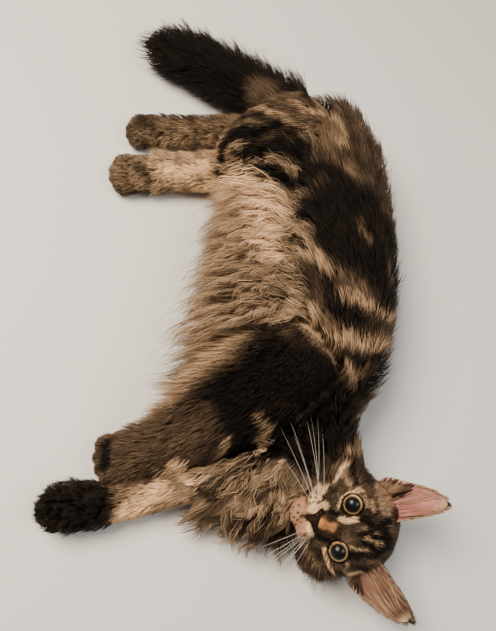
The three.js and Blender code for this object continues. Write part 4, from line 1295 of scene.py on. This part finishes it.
def lie_on_head(roots):
    """How the coat lies on the head, away from the nose and up the ears."""
    p = to_head(roots)
    up, out = p[:, 1], np.abs(p[:, 2])
    away = p - NOSE_TIP
    away[:, 1] += BROW_UP * ramp(up, *BROW)
    cheek = ramp(out, *CHEEK_OUT) * ramp(up, *CHEEK_DOWN)
    away[:, 0] -= CHEEK_BACK * cheek
    size = from_start(np.linalg.norm(away, axis=1), *FACE_SHORT)
    jowl = ramp(out, *JOWL_OUT) * ramp(up, *JOWL_DOWN)
    parts = (1, size, cheek, jowl, cheek * (p[:, 2] > 0), ramp(up, *CROWN))
    slide = sum(share * part for share, part in zip(HEAD_SLIDE, parts))
    depth = sum(share * part for share, part in zip(HEAD_DEPTH, parts))
    flow = unit(away)
    for ear in EARS.values():
        near = np.clip(BY_EAR - np.linalg.norm(p - ear["base"], axis=1) / BY_EAR_OVER, 0, 1)
        flow += unit(np.array(ear["tip"], float) - ear["base"]) * (BY_EAR_TURN * near)[:, None]
        slide += BY_EAR_SLIDE * near
        depth += BY_EAR_DEPTH * near
    d = p - HEAD_MIDDLE
    around = np.arctan2(d[:, 2], d[:, 1]) / (2 * np.pi)
    spot = np.stack([np.arccos(np.clip(unit(d)[:, 0], -1, 1)) / np.pi, around % 1], 1)
    return flow @ HEAD_AXES, depth, slide, np.zeros(len(roots)), spot


# Bare places: how far round the eyeball and its middle, the nose, and the lips' and the pads' edges, in mm
BARE_BALL, BARE_LID = 2.0, 10.4
BARE_NOSE, BARE_NOSE_HALF = [20, -27, 0], [9, 5.5, 9]
BARE_LIP, BARE_PAD = 1.3, 0.3


def bare_of_hair(name, roots):
    """Places with no tufts: eyes, lids' edges, nose, lips and pads."""
    bare = np.zeros(len(roots), bool)
    if name == "head":
        p = to_head(roots)
        for eye in EYES.values():
            on_ball = np.linalg.norm(p - eye, axis=1) < EYE_RADIUS + BARE_BALL
            on_lid = np.hypot(p[:, 1] - eye[1], p[:, 2] - eye[2]) < BARE_LID
            bare |= on_ball & on_lid & (p[:, 0] > LID_RIM_BACK)
        bare |= np.linalg.norm((p - BARE_NOSE) / BARE_NOSE_HALF, axis=1) < 1
        for line in LIP_LINES:
            bare |= line_distance(p, line) < BARE_LIP
    if name in PAWS:
        for middle, half in PAWS[name].pads():
            bare |= egg_field(roots, middle, PAWS[name].axes, half) < BARE_PAD
    return bare


# How a path lifts from the skin, how much of its lift it keeps, how near the field's end it is let go, and
# how much droop leaves it free to hang
LIFT_POWER = 1.9
KEPT, KEPT_MOST = 0.9, 16.0
PUSHES, PUSH_SHARE, FIELD_END = 2, 0.8, 4
FREE_DROOP = 0.2
GATHER_POWER, LOCK_WIDE = 1.2, 0.35
# A blade's taper to its tip, and its width at the root and how much that grows along it
TAPER, BLADE_ROOT, BLADE_GROWS = 2.2, 0.8, 0.6


def grow_paths(tufts, steps):
    """The path of each tuft from its root to its tip, held above the skin and the floor."""
    roots, normals, flow = tufts["roots"], tufts["normals"], tufts["flow"]
    depth, slide, droop = tufts["depth"], tufts["slide"], tufts["droop"]
    path = np.empty((len(roots), len(steps), 3))
    for k, q in enumerate(steps):
        lift = depth * (1 - (1 - q) ** LIFT_POWER)
        p = roots + flow * (slide * q)[:, None] + normals * lift[:, None]
        p[:, 2] -= droop * depth * q * q
        for _ in range(PUSHES if q > 0 else 0):
            now = body_field(p)
            want = np.where(droop > 0, np.minimum(lift, KEPT_MOST), lift) * KEPT
            push = np.where(now < FAR - FIELD_END, want - now, 0.0)
            push = np.where((droop > FREE_DROOP) & (push < 0), 0.0, push)
            p = p + out_of(p) * (PUSH_SHARE * push)[:, None]
        p[:, 2] = np.maximum(p[:, 2], PATH_CLEAR)
        path[:, k] = p
    return path


def gather_paths(path, offset, leading, share, steps):
    """Tufts drawn towards the path of the one that leads their lock."""
    for k, q in enumerate(steps):
        pull = (share * q**GATHER_POWER)[:, None]
        path[:, k] = path[:, k] * (1 - pull) + (leading[:, k] + offset * LOCK_WIDE) * pull


def blades(path, normals, wide, thick, roll):
    """Closed three-sided blades along paths, with a flat root and a sharp tip."""
    count, rings = len(path), path.shape[1] - 1
    per = 3 * rings + 1
    step = np.diff(path, axis=1)
    points = np.empty((count, per, 3))
    c, s = np.cos(roll)[:, None], np.sin(roll)[:, None]
    for k in range(rings):
        t = k / rings
        profile = (1 - t**TAPER) * (BLADE_ROOT + BLADE_GROWS * t)
        along = unit(step[:, k])
        across = unit(np.cross(along, normals))
        out = np.cross(across, along)
        across, out = across * c + out * s, out * c - across * s
        half = (wide * profile / 2)[:, None]
        points[:, 3 * k] = path[:, k] + across * half
        points[:, 3 * k + 1] = path[:, k] + out * (thick * profile)[:, None]
        points[:, 3 * k + 2] = path[:, k] - across * half
    points[:, -1] = path[:, -1]
    points[..., 2] = np.maximum(points[..., 2], FLOOR_CLEAR)
    faces = [[0, 2, 1]]
    for k in range(rings - 1):
        for j in range(3):
            a, b = 3 * k + j, 3 * k + (j + 1) % 3
            faces += [[a, b, a + 3], [b, b + 3, a + 3]]
    last = 3 * (rings - 1)
    faces += [[last + j, last + (j + 1) % 3, 3 * rings] for j in range(3)]
    return points, np.array(faces)


def patch_uv(spot, rings, low, high):
    """Each tuft's small patch at its root's place on the region's own unwrap."""
    base = np.clip((spot - low) / np.maximum(high - low, 1e-6), 0, 1) * (1 - 2 * PATCH) + PATCH / 2
    along = np.append(np.repeat(np.arange(rings) / rings, 3), 1.0)
    across = np.append(np.tile([0.0, 0.5, 1.0], rings), 0.5)
    inside = np.stack([across, along], 1) * PATCH
    return (base[:, None] + inside[None]).reshape(-1, 2)


# Each finish with its painted shade at the hairs' roots
coat_materials = {slot: coat_material(slot, ends) for slot, ends in ROOT_SHADE.items()}


# Tufts: least and further share of their own and their lock's length, of their gathering and of their width
TUFT_LENGTH, LOCK_LENGTH = (0.72, 0.38), (0.88, 0.24)
TUFT_GATHER, TUFT_WIDE = (0.75, 0.35), (0.45, 0.85)
TUFT_THICK, TUFT_ROLL, OWN_TURN = 0.28, 0.5, 0.10
STRAY_LONG, STRAY_GATHER, STRAY_WIDE = 1.3, 0.2, 0.6
# A lock's edge: how far out it counts, how much shorter it is, and how much painted shade darkens it
EDGE_MOST, EDGE_SHORT, EDGE_SHADE = 1.3, 0.35, 0.45
# Waves: their turn along a tuft, how they grow along it, the length that waves in full, the least and
# most of them, and how much each tuft differs from its lock
WAVE_TURN, WAVE_POWER, WAVE_REACH, WAVE_SIZE, WAVE_OWN = 7.5, 0.8, 45, (0.3, 1.4), 0.4
ROOT_SUNK, ROOT_SUNK_MORE, ROOT_SUNK_MOST = 0.6, 0.05, 2.0
TONE, LOCK_TONE = 0.55, 0.14


def varied(random, count, least, further):
    return least + further * random.random(count)


def locks_of(roots, look, random):
    """The leading tufts, which of them leads each tuft's lock, how far off it is, and how near the edge."""
    count = len(roots)
    leaders = random.choice(count, max(count // look["every"], 1), replace=False)
    tree = KDTree(len(leaders))
    for k, leader in enumerate(leaders):
        tree.insert(roots[leader], k)
    tree.balance()
    lock = np.array([tree.find(p)[1] for p in roots])
    offset = roots - roots[leaders[lock]]
    reach = MM_IN_CM * math.sqrt(look["every"] / look["many"] / math.pi)
    edge = np.clip(np.linalg.norm(offset, axis=1) / reach, 0, EDGE_MOST) ** 2
    return leaders, lock, offset, edge


def add_tufts(label, points, triangles, marks, vary, spot, look):
    """Adds tufts as pieces of no more than the most triangles that one may have, on the region's unwrap."""
    count, per = points.shape[:2]
    rings = look["rings"]
    along = np.append(np.repeat(np.linspace(0, 1, rings + 1)[:-1], 3), 1.0)
    low, high = spot.min(0), spot.max(0)
    order = np.argsort(spot[:, 0], kind="stable")
    pieces = int(np.ceil(count * len(triangles) / MOST_TRIANGLES))
    for i, chosen in enumerate(np.array_split(order, pieces)):
        attributes = {key: np.repeat(marks[chosen, j], per) for j, key in enumerate(MARK_NAMES)}
        attributes["along"] = np.tile(along, len(chosen))
        attributes["vary"] = np.repeat(vary[chosen], per)
        corners = points[chosen].reshape(-1, 3)
        faces = triangles[None] + (np.arange(len(chosen)) * per)[:, None, None]
        uv = patch_uv(spot[chosen], rings, low, high)
        name = f"{label}_{i + 1}" if pieces > 1 else label
        material = coat_materials[look["slot"]]
        piece = add_object(name, corners, faces.reshape(-1, 3), material, attributes, uv)
        place_piece(piece)


def make_tufts(label, tufts, look, random):
    """Grows one region's tufts, gathers them to locks, waves them and gives each its tone and marks."""
    roots, normals = tufts["roots"], tufts["normals"]
    count = len(roots)
    steps = np.linspace(0, 1, look["rings"] + 1)
    leaders, lock, offset, edge = locks_of(roots, look, random)
    turn = random.normal(size=len(leaders))[lock] * look["tousle"] + random.normal(size=count) * OWN_TURN
    across = np.cross(normals, tufts["flow"])
    tufts["flow"] = tufts["flow"] * np.cos(turn)[:, None] + across * np.sin(turn)[:, None]
    length = varied(random, count, *TUFT_LENGTH) * varied(random, len(leaders), *LOCK_LENGTH)[lock]
    length *= 1 - EDGE_SHORT * look["edge"] * edge
    stray = random.random(count) < look["stray"]
    length[stray] *= STRAY_LONG
    tufts["depth"] = tufts["depth"] * length
    tufts["slide"] = tufts["slide"] * length
    reach = tufts["depth"] + tufts["slide"]
    path = grow_paths(tufts, steps)
    share = look["gather"] * varied(random, count, *TUFT_GATHER) * np.where(stray, STRAY_GATHER, 1.0)
    gather_paths(path, offset, path[leaders][lock], share, steps)
    phase = (random.random(len(leaders)) * 2 * np.pi)[lock] + WAVE_OWN * random.random(count)
    size = look["wave"] * np.clip(reach / WAVE_REACH, *WAVE_SIZE)
    across = unit(np.cross(tufts["flow"], normals))
    for k, q in enumerate(steps):
        path[:, k] += across * (size * q**WAVE_POWER * np.sin(phase + WAVE_TURN * q))[:, None]
    path[:, 0] -= normals * np.minimum(ROOT_SUNK + ROOT_SUNK_MORE * reach, ROOT_SUNK_MOST)[:, None]
    path[..., 2] = np.maximum(path[..., 2], WAVED_CLEAR)
    wide = look["wide"] * varied(random, count, *TUFT_WIDE) * np.where(stray, STRAY_WIDE, 1.0)
    roll = random.normal(size=count) * TUFT_ROLL
    points, triangles = blades(path, normals, wide, wide * TUFT_THICK, roll)
    marks = tufts.get("marks")
    if marks is None:
        shown = roots + (path[:, -1] - roots) * SHOWN_AT
        marks = marks_at(shown, tufts["region"], SPREAD, SEED)
    own = look["own"] * random.normal(size=count)
    of_lock = (LOCK_TONE * random.normal(size=len(leaders)))[lock]
    # Each tuft's tone: its own, its lock's, and the painted shade at its lock's edge
    vary = np.clip(TONE + own + of_lock - EDGE_SHADE * look["edge"] * edge, 0, 1)
    add_tufts(label, points, triangles, marks, vary, tufts["spot"], look)


random = np.random.default_rng(SEED)
for name, row in COAT.items():
    look = dict(zip(LOOK, row))
    roots, normals = roots_on_skin(name, look["many"], random)
    keep = ~bare_of_hair(name, roots)
    roots, normals = roots[keep], normals[keep]
    if name == "head":
        lie = lie_on_head(roots)
    elif name in PAWS:
        lie = lie_on_paw(name, roots)
    else:
        lie = lie_on_limb(name, roots)
    tufts = dict(zip(("flow", "depth", "slide", "droop", "spot"), lie), roots=roots, normals=normals)
    tufts["flow"] = on_skin(tufts["flow"], normals)
    tufts["region"] = np.full(len(roots), REGIONS.index(name))
    make_tufts("coat_" + name, tufts, look, random)

# Ears: thin cups with fine hair inside and short fur on their backs
EAR_THICK = 1.6
EAR_DEEP = 11.0
EAR_ROWS, EAR_COLUMNS = 30, 25
FOOT_SHARE = 0.2
# How an ear narrows at its foot and to its tip, its edge in mm, its bow, and how it flattens and thins
FOOT_NARROW, FOOT_TO, TIP_NARROW, EAR_EDGE = 0.45, 4.5, 0.22, 0.8
EAR_BOW, EAR_FLATTENS, EAR_THINS = 4, 0.75, 0.7
EAR_ROUGH, EAR_SHINE, EAR_VEINS, EAR_VEIN_DETAIL = 0.5, 0.3, 60.0, 4.0
EAR_GRAIN, EAR_RELIEF, EAR_BUMP = 500.0, 0.3, 0.0004
VEIN_FROM, VEIN_TO = 0.35, 0.7
FOLD_COLOUR, RIM_COLOUR = (0.16, 0.06, 0.04, 1), (0.40, 0.27, 0.17, 1)
BACK_COLOUR = (0.035, 0.022, 0.015, 1)
RIM_FROM, RIM_WIDE = 0.88, 0.08
FOLD_TO, FOLD_MIDDLE, FOLD_SIDE = 0.25, 0.4, 0.6


def ear_at(ear, t, a, lift):
    """Points of an ear's cup by their place along and across it, lifted towards the way it opens."""
    base, tip = from_head(ear["base"]), from_head(ear["tip"])
    rise = tip - base
    opens = np.array(ear["opens"]) @ HEAD_AXES
    opens = unit(opens - rise * (opens @ rise) / (rise @ rise))
    across = unit(np.cross(rise, opens))
    foot = 1 - FOOT_NARROW * np.maximum(0, 1 - FOOT_TO * t) ** 2
    outline = np.sqrt(np.maximum(1 - np.maximum(t, 0) ** ear["blunt"], 0))
    half = ear["wide"] * outline * (1 - TIP_NARROW * t) * foot + EAR_EDGE
    bow = EAR_BOW * t * (1 - t) - EAR_DEEP * (1 - EAR_FLATTENS * t) * (1 - a * a)
    points = base + rise * (t * (1 + FOOT_SHARE) - FOOT_SHARE)[..., None] + across * (a * half)[..., None]
    lifted = bow + lift * (1 - EAR_THINS * np.abs(a) ** 3)
    return points + opens * lifted[..., None], opens, across, unit(rise)


def ear_material(name, deep, bright):
    shade = Shade(name, EAR_ROUGH, Specular_IOR_Level=EAR_SHINE)
    vein = shade.noise(EAR_VEINS, EAR_VEIN_DETAIL)
    colour = shade.mix(shade.within(vein, VEIN_FROM, VEIN_TO), deep, bright)
    for mark, shown in (("fold", FOLD_COLOUR), ("rim", RIM_COLOUR), ("back", BACK_COLOUR)):
        colour = shade.mix(shade.mark(mark), colour, shown)
    relief = shade.bump(shade.noise(EAR_GRAIN), EAR_RELIEF, EAR_BUMP)
    return shade.feed(Base_Color=colour, Normal=relief)


# The left ear's skin is the right's in darker colours: painted shade, as that ear's inside faces away from
# the light
EAR_SKINS = {
    "ear_right": ear_material("ear_skin_right", (0.30, 0.105, 0.085, 1), (0.50, 0.21, 0.165, 1)),
    "ear_left": ear_material("ear_skin_left_painted_shade", (0.085, 0.038, 0.026, 1), (0.20, 0.09, 0.06, 1)),
}
# Hair of the ears: [how many, from and to along the ear, from and to across, on the back, length, lift,
# width, spread across, marks dark, pale, warm, pink]
EAR_HAIR = {
    "ear_right": [
        [130, 0.0, 0.7, -0.9, 0.75, False, 24, 5.0, 0.4, 0.18, (0.0, 0.55, 0.0, 0.35)],
        [420, -0.05, 0.98, -1.0, -0.93, False, 5, 1.5, 0.6, 0.25, (0.30, 0.40, 0.1, 0.15)],
        [420, -0.05, 0.98, 0.93, 1.0, False, 5, 1.5, 0.6, 0.25, (0.30, 0.40, 0.1, 0.15)],
        [1200, 0.0, 0.99, -1.0, 1.0, True, 6, 1.2, 0.9, 0.15, (0.80, 0.05, 0.0, 0.0)],
        [40, 0.95, 1.0, -0.5, 0.5, True, 6, 1.0, 0.6, 0.2, (0.70, 0.15, 0.0, 0.0)],
    ],
    "ear_left": [
        [130, 0.0, 0.5, -0.9, 0.85, False, 34, 8.0, 0.42, 0.12, (0.05, 0.62, 0.0, 0.10)],
        [260, -0.15, 0.1, -1.0, 1.0, False, 12, 4.0, 0.7, 0.3, (0.62, 0.12, 0.0, 0.0)],
        [420, -0.05, 0.98, -1.0, -0.93, False, 6, 1.5, 0.6, 0.25, (0.55, 0.25, 0.1, 0.0)],
        [420, -0.05, 0.98, 0.93, 1.0, False, 6, 1.5, 0.6, 0.25, (0.45, 0.35, 0.1, 0.0)],
        [1200, 0.0, 0.99, -1.0, 1.0, True, 6, 1.2, 0.9, 0.15, (0.80, 0.05, 0.0, 0.0)],
        [90, 0.93, 1.0, -0.5, 0.5, True, 10, 1.5, 0.7, 0.2, (0.90, 0.03, 0.0, 0.0)],
    ],
}
EAR_LOOK = dict(many=200, rings=2, gather=0.3, every=10, wave=0.6, tousle=0.05, edge=0.1, own=0.15)
EAR_LOOK.update(stray=0.0, slot="coat_face")
EAR_HAIR_IN = 0.25


def grow_ear_hair(label, ear, row, random):
    """One growth of hair on an ear."""
    count, t_from, t_to, a_from, a_to, behind, length, lift, wide, fan, marks = row
    t, a = random.uniform(t_from, t_to, count), random.uniform(a_from, a_to, count)
    side = -1 if behind else 1
    roots, opens, across, rise = ear_at(ear, t, a, side * EAR_THICK / 2)
    flow = rise + across * (fan * random.normal(size=count) - EAR_HAIR_IN * a)[:, None]
    normals = np.tile(side * opens, (count, 1))
    tufts = dict(roots=roots, normals=normals, flow=on_skin(flow, normals), droop=np.zeros(count))
    tufts.update(depth=np.full(count, float(lift)), slide=np.full(count, float(length)))
    tufts["spot"] = np.stack([t, (a + 1) / 2], 1)
    tufts["marks"] = np.tile(marks, (count, 1))
    make_tufts(label, tufts, dict(EAR_LOOK, wide=wide), random)


for name, ear in EARS.items():
    t, a = np.meshgrid(np.linspace(0, 1, EAR_ROWS), np.linspace(-1, 1, EAR_COLUMNS), indexing="ij")
    front, opens, *_ = ear_at(ear, t, a, EAR_THICK / 2)
    back, *_ = ear_at(ear, t, a, -EAR_THICK / 2)
    points = np.vstack([front.reshape(-1, 3), back.reshape(-1, 3)])
    index = np.arange(EAR_ROWS * EAR_COLUMNS).reshape(EAR_ROWS, EAR_COLUMNS)
    quads = np.stack([index[:-1, :-1], index[:-1, 1:], index[1:, 1:], index[1:, :-1]], -1).reshape(-1, 4)
    second = EAR_ROWS * EAR_COLUMNS
    edge = np.concatenate([index[0, :-1], index[:-1, -1], index[-1, :0:-1], index[:0:-1, 0]])
    following = np.roll(edge, -1)
    wall = np.stack([edge, edge + second, following + second, following], 1)
    faces = np.vstack([quads, quads[:, ::-1] + second, wall])
    if np.cross(front[1, 0] - front[0, 0], front[0, 1] - front[0, 0]) @ opens > 0:
        faces = faces[:, ::-1]
    rim = np.clip((np.maximum(np.abs(a), t) - RIM_FROM) / RIM_WIDE, 0, 1).ravel()
    fold = (np.clip(1 - t / FOLD_TO, 0, 1) * (FOLD_MIDDLE + FOLD_SIDE * np.abs(a))).ravel()
    marks = {"rim": np.tile(rim, 2), "fold": np.tile(fold, 2), "back": np.repeat([0.0, 1.0], second)}
    piece = add_object(name + "_cup", points, faces, EAR_SKINS[name], marks)
    place_piece(piece, [name])
    for number, row in enumerate(EAR_HAIR[name]):
        grow_ear_hair(f"{name}_hair_{number}", ear, row, random)

# Eyes: a ball with a raised cornea, marked by the angle from its middle, in degrees
PUPIL_ANGLE, PUPIL_SOFT = 40.0, 1.0
IRIS_ANGLE, IRIS_SOFT = 57.0, 3
CORNEA_LIFT, CORNEA_ANGLE = 0.7, 38.0
EYE_RINGS, EYE_SIDES = 60, 72
STREAKS, FINE_STREAKS, STREAK_LEAN = 19, 47, 0.2
STREAK_MIDDLE, STREAK_HALF = 0.5, 0.25
GOLD, PALE_GOLD = (0.52, 0.31, 0.11, 1), (0.78, 0.54, 0.24, 1)
INNER_RINGS = [(46, 49, (0.20, 0.085, 0.03, 1)), (41.5, 43.5, (0.30, 0.17, 0.08, 1))]
EYE_EDGE, PUPIL = (0.012, 0.008, 0.006, 1), (0.003, 0.003, 0.003, 1)
eye_shade = Shade("eye", 0.35, Coat_Weight=0.25, Coat_Roughness=0.12, Specular_IOR_Level=0.15)
tilt, streak = eye_shade.mark("tilt"), eye_shade.mark("streak")
iris = eye_shade.mix(streak, GOLD, PALE_GOLD)
for ring_from, ring_to, colour in INNER_RINGS:
    iris = eye_shade.mix(eye_shade.within(tilt, ring_from, ring_to), colour, iris)
iris = eye_shade.mix(eye_shade.within(tilt, IRIS_ANGLE - IRIS_SOFT, IRIS_ANGLE), iris, EYE_EDGE)
in_pupil = eye_shade.within(tilt, PUPIL_ANGLE - PUPIL_SOFT, PUPIL_ANGLE + PUPIL_SOFT)
eye_shade.feed(Base_Color=eye_shade.mix(in_pupil, PUPIL, iris))


def eye_ball(angle, turn):
    radius = EYE_RADIUS + CORNEA_LIFT * np.exp(-((np.degrees(angle) / CORNEA_ANGLE) ** 2))
    s = np.sin(angle)
    return np.stack([radius * np.cos(angle), radius * s * np.cos(turn), radius * s * np.sin(turn)], -1)


angle, turn = np.meshgrid(
    np.linspace(0, np.pi, EYE_RINGS + 1)[1:-1],
    np.linspace(0, 2 * np.pi, EYE_SIDES, endpoint=False),
    indexing="ij",
)
angle_at = np.append(angle.ravel(), [0, np.pi])
turn_at = np.append(turn.ravel(), [0, 0])
index = np.arange((EYE_RINGS - 1) * EYE_SIDES).reshape(EYE_RINGS - 1, EYE_SIDES)
after = np.roll(index, -1, axis=1)
quads = np.stack([index[:-1], index[1:], after[1:], after[:-1]], -1).reshape(-1, 4)
front_cap = np.stack([np.full(EYE_SIDES, index.size), index[0], after[0]], 1)
back_cap = np.stack([np.full(EYE_SIDES, index.size + 1), after[-1], index[-1]], 1)
tris = np.vstack([quads[:, [0, 1, 2]], quads[:, [0, 2, 3]], front_cap, back_cap])[:, ::-1]
tilt_at = np.degrees(angle_at)
coarse, fine = np.sin(turn_at * STREAKS), np.sin(turn_at * FINE_STREAKS + tilt_at * STREAK_LEAN)
eye_marks = {"tilt": tilt_at, "streak": STREAK_MIDDLE + STREAK_HALF * coarse + STREAK_HALF * fine}
for side, eye in EYES.items():
    hand = "left" if side > 0 else "right"
    points = from_head(eye_ball(angle_at, turn_at) + eye)
    piece = add_object("eyeball_" + hand, points, tris, eye_shade.material, eye_marks)
    place_piece(piece, ["eye_" + hand])

# Nose leather, and the pads of the paws in the same dark skin
NOSE_DARK, NOSE_LIGHT = (0.004, 0.0025, 0.002, 1), (0.020, 0.010, 0.006, 1)
NOSE_CLOUDS, NOSE_PEBBLES, NOSE_RELIEF, NOSE_BUMP = 160.0, 1400.0, 0.4, 0.0003
nose_shade = Shade("nose_leather", 0.6, Specular_IOR_Level=0.08)
pebble = nose_shade.node("ShaderNodeTexVoronoi", {}, {"Vector": nose_shade.place(), "Scale": NOSE_PEBBLES})
nose_colour = nose_shade.mix(nose_shade.noise(NOSE_CLOUDS), NOSE_DARK, NOSE_LIGHT)
nose_shade.feed(Base_Color=nose_colour, Normal=nose_shade.bump(pebble, NOSE_RELIEF, NOSE_BUMP))
NOSE_AT = from_head([18, -27, 0])
NOSE_ROOM = 17
# Middles and half sizes of the nose's parts, forward, up and left, and how widely they melt
NOSE_TOP = ([15.6, -25.4, 0], [6.8, 4.6, 7.4])
NOSE_FOOT, FOOT_MELT = ([15.4, -30.4, 0], [6.8, 5.0, 3.0]), 4.0
NOSE_WING, WING_MELT = ([13.8, -23.8, 7.8], [5.0, 2.6, 3.4]), 2.8
NOSTRIL, NOSTRIL_SOFT = ([20.2, -26.8, 5.8], [3.2, 1.2, 2.6]), 0.8


def nose_egg(p, at, half, side=1):
    return egg_field(p, np.array(at) * [1, 1, side], IDENTITY, half)


def nose_field(points):
    """How far points lie outside the nose leather."""
    p = to_head(points)
    whole = melt(nose_egg(p, *NOSE_TOP), nose_egg(p, *NOSE_FOOT), FOOT_MELT)
    for side in (-1, 1):
        whole = melt(whole, nose_egg(p, *NOSE_WING, side), WING_MELT)
        whole = carve(whole, nose_egg(p, *NOSTRIL, side), NOSTRIL_SOFT)
    return whole


nose = Grid(NOSE_AT - NOSE_ROOM, NOSE_AT + NOSE_ROOM, NOSE_GRID)
nose.join(NOSE_AT - NOSE_ROOM, NOSE_AT + NOSE_ROOM, nose_field, FIRST_MELT)
nose_points, nose_quads = nose.surface()
piece = add_object("nose_leather", nose_points, nose_quads, nose_shade.material)
place_piece(piece, ["nose"])
PAD_GRID = 1.0
PAD_ROOM, PAD_MARGIN, PAD_MELT = 60, 3, 0.5
for name, paw in PAWS.items():
    middle = (paw.start + paw.end) / 2
    pad = Grid(middle - PAD_ROOM, middle + PAD_ROOM, PAD_GRID)
    for at, half in paw.pads():
        reach = max(half) + PAD_MARGIN

        def pad_field(points):
            return egg_field(points, at, paw.axes, half)

        pad.join(at - reach, at + reach, pad_field, PAD_MELT)
    pad_points, pad_quads = pad.surface()
    pad_points[:, 2] = np.maximum(pad_points[:, 2], FLOOR_CLEAR)
    place_piece(add_object("pads_" + name, pad_points, pad_quads, nose_shade.material))

# Whiskers: [start up and left on the face, length, way forward, up and left, bow]
WHISKERS = [
    [(-28, -13), 78, (-0.10, -0.30, -0.95), 0.20],
    [(-27, -16), 92, (-0.22, -0.42, -0.88), 0.16],
    [(-30, -14), 86, (-0.12, -0.55, -0.82), 0.14],
    [(-31, -17), 70, (-0.20, -0.20, -0.96), 0.22],
    [(-33, -15), 74, (-0.05, -0.66, -0.75), 0.10],
    [(-34, -18), 58, (-0.25, -0.55, -0.80), 0.15],
    [(-26, -19), 64, (-0.30, -0.25, -0.92), 0.18],
    [(-35, -13), 46, (0.05, -0.75, -0.66), 0.10],
    [(-28, 13), 62, (0.15, -0.30, 0.94), 0.20],
    [(-27, 16), 74, (0.10, -0.42, 0.90), 0.18],
    [(-30, 14), 72, (0.20, -0.52, 0.83), 0.14],
    [(-31, 17), 66, (0.10, -0.34, 0.93), 0.20],
    [(-33, 15), 60, (0.25, -0.64, 0.73), 0.10],
    [(-34, 18), 54, (0.15, -0.55, 0.82), 0.15],
    [(-26, 19), 58, (0.05, -0.22, 0.97), 0.20],
    [(-35, 13), 44, (0.30, -0.72, 0.62), 0.10],
]
WHISKER_WIDE, WHISKER_THICK = 0.32, 0.8
WHISKER_RINGS = 7
WHISKER_SUNK, WHISKER_CLEAR = -1.0, 3.0
WHISKER_BEND = np.array([0.8, -0.4, 0.0])
WHISKER_CREAM, WHISKER_WHITE = (0.62, 0.55, 0.46, 1), (0.86, 0.79, 0.68, 1)
whisker_shade = Shade("whisker", 0.35, Specular_IOR_Level=0.5)
whisker_shade.feed(Base_Color=whisker_shade.mix(whisker_shade.noise(40.0), WHISKER_CREAM, WHISKER_WHITE))
steps = np.linspace(0, 1, WHISKER_RINGS + 1)
paths = []
for start, length, way, bow in WHISKERS:
    root = on_face([start], 1, WHISKER_SUNK)[0]
    way = unit(way)
    bend = unit(WHISKER_BEND - way * (way @ WHISKER_BEND))
    line = root + way * (length * steps)[:, None] + bend * (bow * length * steps**2)[:, None]
    paths.append(from_head(line))
paths = np.array(paths)
paths[..., 2] = np.maximum(paths[..., 2], WHISKER_CLEAR)
count = len(paths)
width = np.full(count, WHISKER_WIDE)
outward = np.tile(FORWARD, (count, 1))
points, triangles = blades(paths, outward, width, width * WHISKER_THICK, np.zeros(count))
faces = triangles[None] + (np.arange(count) * points.shape[1])[:, None, None]
piece = add_object("whiskers", points.reshape(-1, 3), faces.reshape(-1, 3), whisker_shade.material)
place_piece(piece)

# Floor, light and camera
FLOOR_DARK, FLOOR_LIGHT = (0.66, 0.63, 0.59, 1), (0.70, 0.67, 0.63, 1)
floor_shade = Shade("floor", 0.6)
floor_shade.feed(Base_Color=floor_shade.mix(floor_shade.noise(3.0), FLOOR_DARK, FLOOR_LIGHT))
FLOOR_HALF = 6.0
corners = [(x * FLOOR_HALF, y * FLOOR_HALF, 0) for x, y in ((-1, -1), (1, -1), (1, 1), (-1, 1))]
floor_mesh = bpy.data.meshes.new("floor")
floor_mesh.from_pydata(corners, [], [(0, 1, 2, 3)])
floor_mesh.materials.append(floor_shade.material)
floor = bpy.data.objects.new("floor", floor_mesh)
bpy.context.scene.collection.objects.link(floor)


# Lights: name, place and size in m, watts and colour
AIM = (0, 0, 0.05)
LIGHTS = [
    ("key", (-0.8, 0.35, 1.5), 1.1, 64, (1.0, 0.90, 0.76)),
    ("fill", (0.95, -0.5, 1.5), 0.8, 12, (0.95, 0.97, 1.0)),
]
AIR_COLOUR, AIR_STRENGTH = (1.0, 0.94, 0.86, 1), 0.25
for name, at, size, power, colour in LIGHTS:
    data = bpy.data.lights.new(name, "AREA")
    data.shape = "DISK"
    data.size, data.energy, data.color = size, power, colour
    light = bpy.data.objects.new(name, data)
    light.location = at
    light.rotation_euler = (Vector(AIM) - Vector(at)).to_track_quat("-Z", "Y").to_euler()
    bpy.context.scene.collection.objects.link(light)
world = bpy.data.worlds.new("studio")
world.use_nodes = True
air = world.node_tree.nodes["Background"].inputs
air["Color"].default_value, air["Strength"].default_value = AIR_COLOUR, AIR_STRENGTH
bpy.context.scene.world = world

SENSOR = 36.0
camera_data = bpy.data.cameras.new("camera")
camera_data.sensor_width = SENSOR
camera_data.lens = SENSOR * FOCAL_PIXELS / PHOTO_HIGH
camera = bpy.data.objects.new("camera", camera_data)
turned = Matrix([list(VIEW_RIGHT), list(VIEW_UP), list(-VIEW_FORWARD)]).transposed().to_4x4()
camera.matrix_world = Matrix.Translation(Vector(to_frame(EYE_POINT))) @ turned
bpy.context.scene.collection.objects.link(camera)
bpy.context.scene.camera = camera
